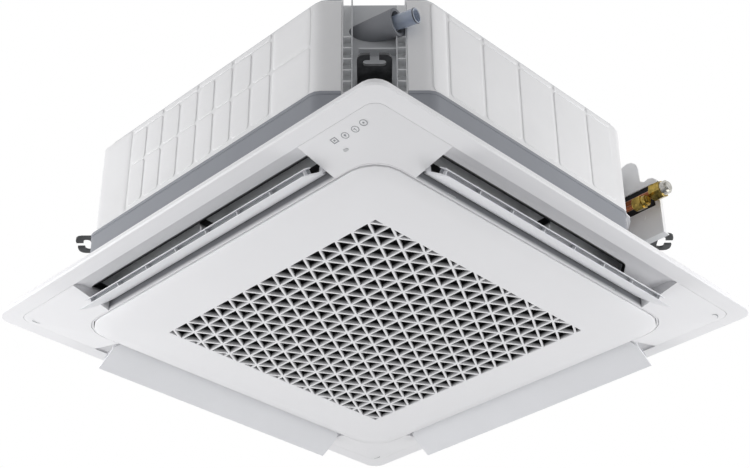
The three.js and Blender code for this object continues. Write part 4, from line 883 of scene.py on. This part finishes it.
@dataclass
class CasingRelief:
    """Raised fields on the casing's four faces and the grooves between them, in millimetres.

    The groove places of each side are counted along it, to the right as seen from outside.
    """

    material: bpy.types.Material
    face_out: float = 409.5
    proud: float = 1.5
    sink: float = 4.0
    radius: float = 7.0
    gap: float = 5.0
    row_gap: float = 2.5
    crisp: float = 2.0
    faint: float = 9.0
    corner_low: float = 114.0
    low: float = 122.0
    middle: float = 208.0
    high: float = 277.0
    edge: float = 290.0
    near_left: tuple[float, ...] = (-196, -152, -107, -60, -12, 33, 79, 127, 176)
    near_left_ends: tuple[Flat, Flat] = ((176, 270), (-284, -196))
    near_right: tuple[float, ...] = (-245, -161, -71, 20, 110, 180)
    near_right_end: Flat = (-284, -245)
    far_right: tuple[float, ...] = (-180, -107, -12, 79, 176, 268)
    far_right_rail: tuple[float, ...] = (-180, -12, 176, 268)
    far_left: tuple[float, ...] = (-268, -176, -79, 12, 107, 196, 268)
    far_left_rail: tuple[float, ...] = (-268, -79, 107, 268)

    def runs(self) -> list[list[Run]]:
        """Fields of each side: groove places along it, the rows of fields and their softness.

        Returns:
            One list for each side, counted from the near-left one.
        """
        two = [(self.low, self.middle), (self.middle, self.high)]
        one = [(self.low, self.high)]
        rail = [(self.high, self.edge)]
        tall = [(self.corner_low, self.edge)]
        split = [(self.corner_low, self.middle), (self.middle, self.edge)]
        right_end, left_end = self.near_left_ends
        return [
            [
                (self.near_left, two, self.crisp),
                (self.near_left[::2], rail, self.crisp),
                (right_end, split, self.faint),
                (left_end, tall, self.faint),
            ],
            [
                (self.near_right, one, self.crisp),
                (self.near_right, rail, self.crisp),
                (self.near_right_end, tall, self.faint),
            ],
            [(self.far_right, one, self.crisp), (self.far_right_rail, rail, self.crisp)],
            [(self.far_left, two, self.crisp), (self.far_left_rail, rail, self.crisp)],
        ]

    def side(self, turns: int, runs: Sequence[Run]) -> Patch:
        """Raised fields of one side.

        Args:
            turns: quarter turns from the near-left side.
            runs: groove places, rows and how soft the edges are.

        Returns:
            The collected shapes.
        """
        patch = Patch()
        for lines, rows, softness in runs:
            for x0, x1 in zip(lines, lines[1:]):
                for z0, z1 in rows:
                    centre = Vector(((x0 + x1) / 2, -self.face_out, (z0 + z1) / 2))
                    width = x1 - x0 - self.gap
                    height = z1 - z0 - self.row_gap
                    pad = soft_pad(width, height, self.radius, self.proud, self.sink, softness)
                    patch.add_rings(placed(pad, quarter(turns) @ basis(ACROSS, UP, centre)))
        return patch

    def build(self) -> None:
        """Makes the fields of all four sides."""
        for turns, (side, runs) in enumerate(zip(SIDES, self.runs())):
            patch = self.side(turns, runs)
            patch.to_piece(f"casing_relief_{side}", self.material, "unit", "foam_white")


# ---------------------------------------------------------------- display and covers
@dataclass
class CoverFace:
    """The sloping face of the four corner covers, in millimetres."""

    seam: float = 443.5
    seam_z: float = -10.3
    slope: float = 0.2421
    foot: float = -0.1
    mark_height: float = 0.25

    def frame(self, x: float, out: float, turns: int = 0) -> Matrix:
        """Stands a mark on the face.

        Args:
            x: place along the panel's edge.
            out: distance from the middle of the panel towards that edge.
            turns: quarter turns from the near-left side.

        Returns:
            A matrix with Z out of the face.
        """
        z = self.seam_z - self.slope * (self.seam - out)
        up = Vector((0, 1, -self.slope))
        return quarter(turns) @ basis(-ACROSS, up, Vector((x, -out, z)))

    def ring(self, patch: Patch, frame: Matrix, outer: Sequence[Flat], inner: Sequence[Flat]) -> None:
        """Adds a thin raised band between two outlines.

        Args:
            patch: the mesh that collects the marks.
            frame: place of the mark.
            outer: its outer outline.
            inner: its inner outline, of as many points.
        """
        loops = [
            level(outer, self.foot),
            level(outer, self.mark_height),
            level(inner, self.mark_height),
            level(inner, self.foot),
        ]
        patch.add_band(placed(loops, frame))

    def disc(self, patch: Patch, frame: Matrix, outline: Sequence[Flat]) -> None:
        """Adds a thin filled mark.

        Args:
            patch: the mesh that collects the marks.
            frame: place of the mark.
            outline: its outline.
        """
        loops = [level(outline, self.foot), level(outline, self.mark_height)]
        patch.add_rings(placed(loops, frame))


@dataclass
class DisplayMarks:
    """Printed generic marks on the display cover, in millimetres."""

    material: bpy.types.Material
    face: CoverFace
    places: tuple[Flat, ...] = ((337.5, 421), (357.8, 419.2), (379.0, 419.4), (397.9, 421.5))
    square_half: float = 5.2
    square_hole: float = 0.72
    square_dot: float = 0.3
    ring_outer: float = 6.2
    ring_inner: float = 5.1
    ring_steps: int = 24
    dot: float = 1.6
    dot_steps: int = 12
    drop: tuple[Flat, ...] = ((0, 3), (-2.2, -1), (0, -2.6), (2.2, -1))
    stem: tuple[Flat, ...] = ((-0.5, 3), (-0.5, -2.6), (0.5, -2.6), (0.5, 3))
    arm: tuple[Flat, ...] = ((0.7, -0.4), (0.7, -1.4), (2.8, -1.4), (2.8, -0.4))

    def build(self) -> None:
        """Makes the square mark and the three ringed ones."""
        patch = Patch()
        half = self.square_half
        square = [(-half, -half), (half, -half), (half, half), (-half, half)]
        first, *others = [self.face.frame(x, out) for x, out in self.places]
        self.face.ring(patch, first, square, scaled(square, self.square_hole))
        self.face.disc(patch, first, scaled(square, self.square_dot))
        outer = circle(self.ring_outer, self.ring_steps)
        inner = circle(self.ring_inner, self.ring_steps)
        signs = ([self.drop], [self.stem, self.arm], [circle(self.dot, self.dot_steps)])
        for frame, outlines in zip(others, signs):
            self.face.ring(patch, frame, outer, inner)
            for outline in outlines:
                self.face.disc(patch, frame, outline)
        patch.to_piece("display_marks", self.material, "unit", "grey_plastic", smooth=False)


@dataclass
class NotchShadows:
    """Grey crescents painted as the shadow in the small finger grips at the tip of the three plain corner
    covers, in millimetres.
    """

    material: bpy.types.Material
    face: CoverFace
    place: Flat = (420.0, 421.0)
    radius: float = 9.0
    start: float = 200.0
    sweep: float = 140.0
    steps: int = 12
    belly: float = 1.6
    tip: float = 0.15

    def build(self) -> None:
        """Makes one crescent on each plain cover."""
        patch = Patch()
        outer = []
        inner = []
        for i in range(self.steps + 1):
            angle = math.radians(self.start + self.sweep * i / self.steps)
            thick = self.belly * math.sin(math.pi * i / self.steps) + self.tip
            for arc, reach in ((outer, self.radius), (inner, self.radius - thick)):
                arc.append((reach * math.cos(angle), reach * math.sin(angle)))
        for turns in (1, 2, 3):
            # each crescent is the painted shadow of a finger grip, standing slightly proud of the cover
            self.face.disc(patch, self.face.frame(*self.place, turns), outer + inner[::-1])
        patch.to_piece("cover_finger_grip_shadows", self.material, "unit", "grey_plastic")


# ---------------------------------------------------------------- louvre webs, and the drain pipe's painted root shadow and lip
@dataclass
class VaneWebs:
    """Thin web, painted mid grey as the vane's shade, that closes the space behind each louvre's small upper
    vane.

    Lengths are in millimetres, along the blade's chord and square to it from the hinge.
    """

    material: bpy.types.Material
    joints: Sequence[dict[str, Any]]
    tilt: float = 34.9
    half: float = 271.0
    chord: Flat = (23.0, 24.2)
    rise: Flat = (-5.0, 4.5)

    def section(self) -> list[Flat]:
        """The web's section on the near-left side.

        Returns:
            Distance out from the middle of the panel and height of its four corners.
        """
        swing = next(j for j in self.joints if j["name"] == "near_left_louvre_swing")
        _, hinge_y, hinge_z = (c / MM for c in swing["pos_m"])
        cos, sin = math.cos(math.radians(self.tilt)), math.sin(math.radians(self.tilt))
        (c0, c1), (r0, r1) = self.chord, self.rise
        return [
            (c * cos + r * sin - hinge_y, hinge_z - c * sin + r * cos)
            for c, r in ((c0, r0), (c1, r0), (c1, r1), (c0, r1))
        ]

    def build(self) -> None:
        """Makes one web on each louvre's body."""
        loops = [[(x, -out, z) for out, z in self.section()] for x in (-self.half, 0.0, self.half)]
        for turns, side in enumerate(SIDES):
            patch = Patch()
            patch.add_rings(placed(loops, quarter(turns)))
            patch.to_piece(
                f"{side}_vane_web", self.material, f"{side}_blade", "grey_plastic", smooth=False
            )


@dataclass
class DrainShadowAndLip:
    """Dark ring painted at the root of the drain pipe as the shadow inside the sleeve's hollow, and the lip
    round its mouth, in millimetres.

    Each ring is its place along the pipe, its radius and the radius of its round section.
    """

    material: bpy.types.Material
    start: Point = (306.9, -346.5, 241.0)
    mouth: Point = (414.4, -321.0, 235.0)
    # the ring at the root is painted shadow; the one near the mouth is the lip
    ring_places: tuple[Point, ...] = ((61.0, 14.1, 1.7), (109.4, 12.1, 1.15))
    around: int = 32
    section: int = 10

    def build(self) -> None:
        """Makes both rings as one piece."""
        start = Vector(self.start)
        out = (Vector(self.mouth) - start).normalized()
        across = out.cross(UP).normalized()
        up = out.cross(across)
        patch = Patch()
        for along, radius, thick in self.ring_places:
            loops = []
            for reach, ahead in circle(thick, self.section):
                middle = start + out * (along + ahead)
                ring = circle(radius + reach, self.around)
                loops.append([list(middle + across * x + up * y) for x, y in ring])
            patch.add_band(loops)
        patch.to_piece("drain_pipe_root_shadow_and_lip", self.material, "unit", "grey_plastic")


# ---------------------------------------------------------------- screws
@dataclass
class Screws:
    """Cross-recess pan-head screws, in millimetres."""

    material: bpy.types.Material
    radius: float = 3.4
    height: float = 2.0
    around: int = 16
    # radius and height of the head from its buried foot to the brim of the recess, as shares
    profile: tuple[Flat, ...] = ((1.0, -0.3), (1.0, 0.35), (0.86, 0.75), (0.55, 0.97), (0.42, 1.0))
    cross_arm: float = 0.4
    cross_waist: float = 0.13
    cross_brim: float = 0.99
    cross_floor: float = 0.45
    # middle of the body to the face of each bracket's root flange, from the near corner on
    hanger_roots: tuple[float, ...] = (477.7, 440.1, 488.1, 488.1)
    hanger_spread: float = 17.0
    hanger_rise: float = 5.0
    box_inset: Flat = (10.0, 7.0)

    def head(self, patch: Patch, frame: Matrix) -> None:
        """Adds one head with its cross recess.

        Args:
            patch: the mesh that collects the heads.
            frame: place of the head, Z out of the sheet.
        """
        loops = [
            level(circle(self.radius * share, self.around), self.height * z)
            for share, z in self.profile
        ]
        star = []
        for i, (x, y) in enumerate(circle(self.radius, self.around)):
            share = self.cross_waist if i % 4 else self.cross_arm
            star.append((x * share, y * share))
        loops.append(level(star, self.height * self.cross_brim))
        loops.append(level(star, self.height * self.cross_floor))
        patch.add_rings(placed(loops, frame))

    def build(self, name: str, frames: Iterable[Matrix]) -> None:
        """Makes a set of screws as one piece.

        Args:
            name: the piece's name.
            frames: place of each head.
        """
        patch = Patch()
        for frame in frames:
            self.head(patch, frame)
        patch.to_piece(name, self.material, "unit", "zinc_steel")

    def hanger_frames(self) -> list[Matrix]:
        """Two screws through each hanger bracket's root flange.

        Returns:
            The place of each head.
        """
        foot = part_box("hanger_bracket_near")[0].z / MM
        out = Vector((1, -1, 0)).normalized()
        along = Vector((1, 1, 0)).normalized()
        frames = []
        for turns, root in enumerate(self.hanger_roots):
            for side in (-self.hanger_spread, self.hanger_spread):
                origin = out * root + along * side + UP * (foot + self.hanger_rise)
                frames.append(quarter(turns) @ basis(along, UP, origin))
        return frames

    def box_frames(self) -> list[Matrix]:
        """Screws near the four corners of the control box's cover, heads down.

        Returns:
            The place of each head.
        """
        low, high = (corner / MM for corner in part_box("control_box_cover"))
        inset_x, inset_y = self.box_inset
        return [
            basis(-ACROSS, Vector((0, 1, 0)), Vector((x, y, low.z)))
            for x in (low.x + inset_x, high.x - inset_x)
            for y in (low.y + inset_y, high.y - inset_y)
        ]


# ---------------------------------------------------------------- light and camera
@dataclass(frozen=True)
class Lamp:
    """One large soft square lamp, in metres and watts."""

    name: str
    spot: Point
    aim: Point
    size: float
    power: float

    def build(self) -> None:
        """Makes the lamp and turns it to what it points at."""
        data = bpy.data.lights.new(self.name, "AREA")
        data.shape = "SQUARE"
        data.size = self.size
        data.energy = self.power
        lamp = bpy.data.objects.new(self.name, data)
        lamp.location = self.spot
        way = Vector(self.aim) - Vector(self.spot)
        lamp.rotation_euler = way.to_track_quat("-Z", "Y").to_euler()
        bpy.context.scene.collection.objects.link(lamp)


LAMPS = (
    Lamp("left_lamp", (-1.2, -1.05, 0.05), (-0.4, -0.42, 0.15), 1.0, 4.8),
    Lamp("right_lamp", (1.05, 1.2, 0.05), (0.42, 0.4, 0.15), 1.0, 5.5),
    Lamp("left_low_lamp", (-1.25, -1.35, -1.0), (0, 0, 0), 1.1, 11.5),
    Lamp("right_low_lamp", (1.25, 1.25, -1.05), (0, 0, 0), 1.1, 11.5),
    Lamp("under_lamp", (-0.8, -0.7, -1.6), (-0.2, -0.2, 0), 1.0, 5),
)


@dataclass
class Studio:
    """Camera as fitted to the photograph, soft light and a pale floor.

    Places are in metres, angles in degrees, and the lens and the sensor in millimetres.
    """

    spot: Point = (1.620315, -1.628963, -1.290659)
    turn: float = 44.834
    tilt: float = -32.306
    roll: float = -0.364
    lens: float = 71.58
    sensor: float = 36.0
    sight: float = 60.0
    sky: str = "fafafb"
    sky_least: float = 0.3
    sky_most: float = 1.2
    floor_z: float = -6.0
    floor_half: float = 18.5
    floor_glow: float = 0.6
    glow: str = "fafafa"

    def camera(self) -> None:
        """Places the camera."""
        a, e, r = (math.radians(v) for v in (self.turn, self.tilt, self.roll))
        back = Vector((math.sin(a) * math.cos(e), -math.cos(a) * math.cos(e), math.sin(e)))
        right = Vector((math.cos(a), math.sin(a), 0))
        up = back.cross(right)
        turned_right = right * math.cos(r) + up * math.sin(r)
        turned_up = up * math.cos(r) - right * math.sin(r)
        matrix = Matrix((turned_right, turned_up, back)).transposed().to_4x4()
        matrix.translation = Vector(self.spot)
        data = bpy.data.cameras.new("photo_camera")
        data.sensor_width = self.sensor
        data.lens = self.lens
        data.clip_end = self.sight
        camera = bpy.data.objects.new("photo_camera", data)
        camera.matrix_world = matrix
        bpy.context.scene.collection.objects.link(camera)
        bpy.context.scene.camera = camera

    def world(self) -> None:
        """Soft surrounding light, strongest straight out from the left and right corners.

        It is white to the camera and in reflections.
        """
        world = bpy.data.worlds.new("studio")
        bpy.context.scene.world = world
        world.use_nodes = True
        tree = world.node_tree
        tree.nodes.clear()
        to_corner = (math.sqrt(0.5), math.sqrt(0.5), 0)
        facing = add(
            tree,
            "VectorMath",
            {0: add(tree, "TexCoord").outputs["Generated"], 1: to_corner},
            operation="DOT_PRODUCT",
        ).outputs["Value"]
        squared = add(tree, "Math", {0: facing, 1: facing}, operation="MULTIPLY")
        strength = add(
            tree,
            "MapRange",
            {"Value": squared.outputs[0], "To Min": self.sky_least, "To Max": self.sky_most},
        )
        plain = add(
            tree,
            "Background",
            {"Color": linear(self.sky), "Strength": strength.outputs["Result"]},
        )
        white = add(tree, "Background", {"Color": linear("ffffff"), "Strength": 1.0})
        mix = add(tree, "MixShader", {0: self.seen(tree), 1: plain.outputs[0], 2: white.outputs[0]})
        add(tree, "OutputWorld", {"Surface": mix.outputs[0]})

    @staticmethod
    def seen(tree: bpy.types.NodeTree) -> Any:
        """1 for rays that show a surface, straight, mirrored or through glass, and 0 for light.

        Args:
            tree: a node tree.

        Returns:
            A value socket.
        """
        path = add(tree, "LightPath")
        found = path.outputs["Is Camera Ray"]
        for ray in ("Is Glossy Ray", "Is Transmission Ray"):
            both = add(tree, "Math", {0: found, 1: path.outputs[ray]}, operation="MAXIMUM")
            found = both.outputs[0]
        return found

    def floor(self) -> None:
        """A plain pale floor well below the unit, which still takes its shadow."""
        mesh = bpy.data.meshes.new("floor")
        half = self.floor_half
        corners = ((-half, -half), (half, -half), (half, half), (-half, half))
        mesh.from_pydata(level(corners, self.floor_z), [], [(0, 1, 2, 3)])
        floor = bpy.data.objects.new("floor", mesh)
        bpy.context.scene.collection.objects.link(floor)
        material = FLOOR.build()
        tree = material.node_tree
        share = add(tree, "Math", {0: self.seen(tree), 1: self.floor_glow}, operation="MULTIPLY")
        glow = add(tree, "Emission", {"Color": linear(self.glow), "Strength": 1.0})
        painted = tree.nodes["Principled BSDF"].outputs["BSDF"]
        mix = add(tree, "MixShader", {0: share.outputs[0], 1: painted, 2: glow.outputs[0]})
        tree.links.new(mix.outputs[0], tree.nodes["Material Output"].inputs["Surface"])
        mesh.materials.append(material)

    def build(self) -> None:
        """Makes the whole studio."""
        self.camera()
        self.world()
        self.floor()
        for lamp in LAMPS:
            lamp.build()
        bpy.context.scene.view_settings.view_transform = "Standard"


def main() -> None:
    """Builds the scene in order."""
    logging.basicConfig(level=logging.INFO, format="%(name)s: %(message)s")
    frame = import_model()
    Studio().build()
    dresser = Dresser(frame["nodes"])
    dresser.dress()
    CasingRelief(dresser.material(CASING)).build()
    covers = CoverFace()
    DisplayMarks(dresser.material(PRINT_AND_NOTCH_SHADOW), covers).build()
    NotchShadows(dresser.material(PRINT_AND_NOTCH_SHADOW), covers).build()
    VaneWebs(dresser.material(VANE_WEB_SHADE), frame["joints"]).build()
    DrainShadowAndLip(dresser.material(ROOT_SHADOW_AND_LIP)).build()
    screws = Screws(dresser.material(SCREW))
    screws.build("hanger_screws", screws.hanger_frames())
    screws.build("control_box_screws", screws.box_frames())


if __name__ == "__main__":
    main()
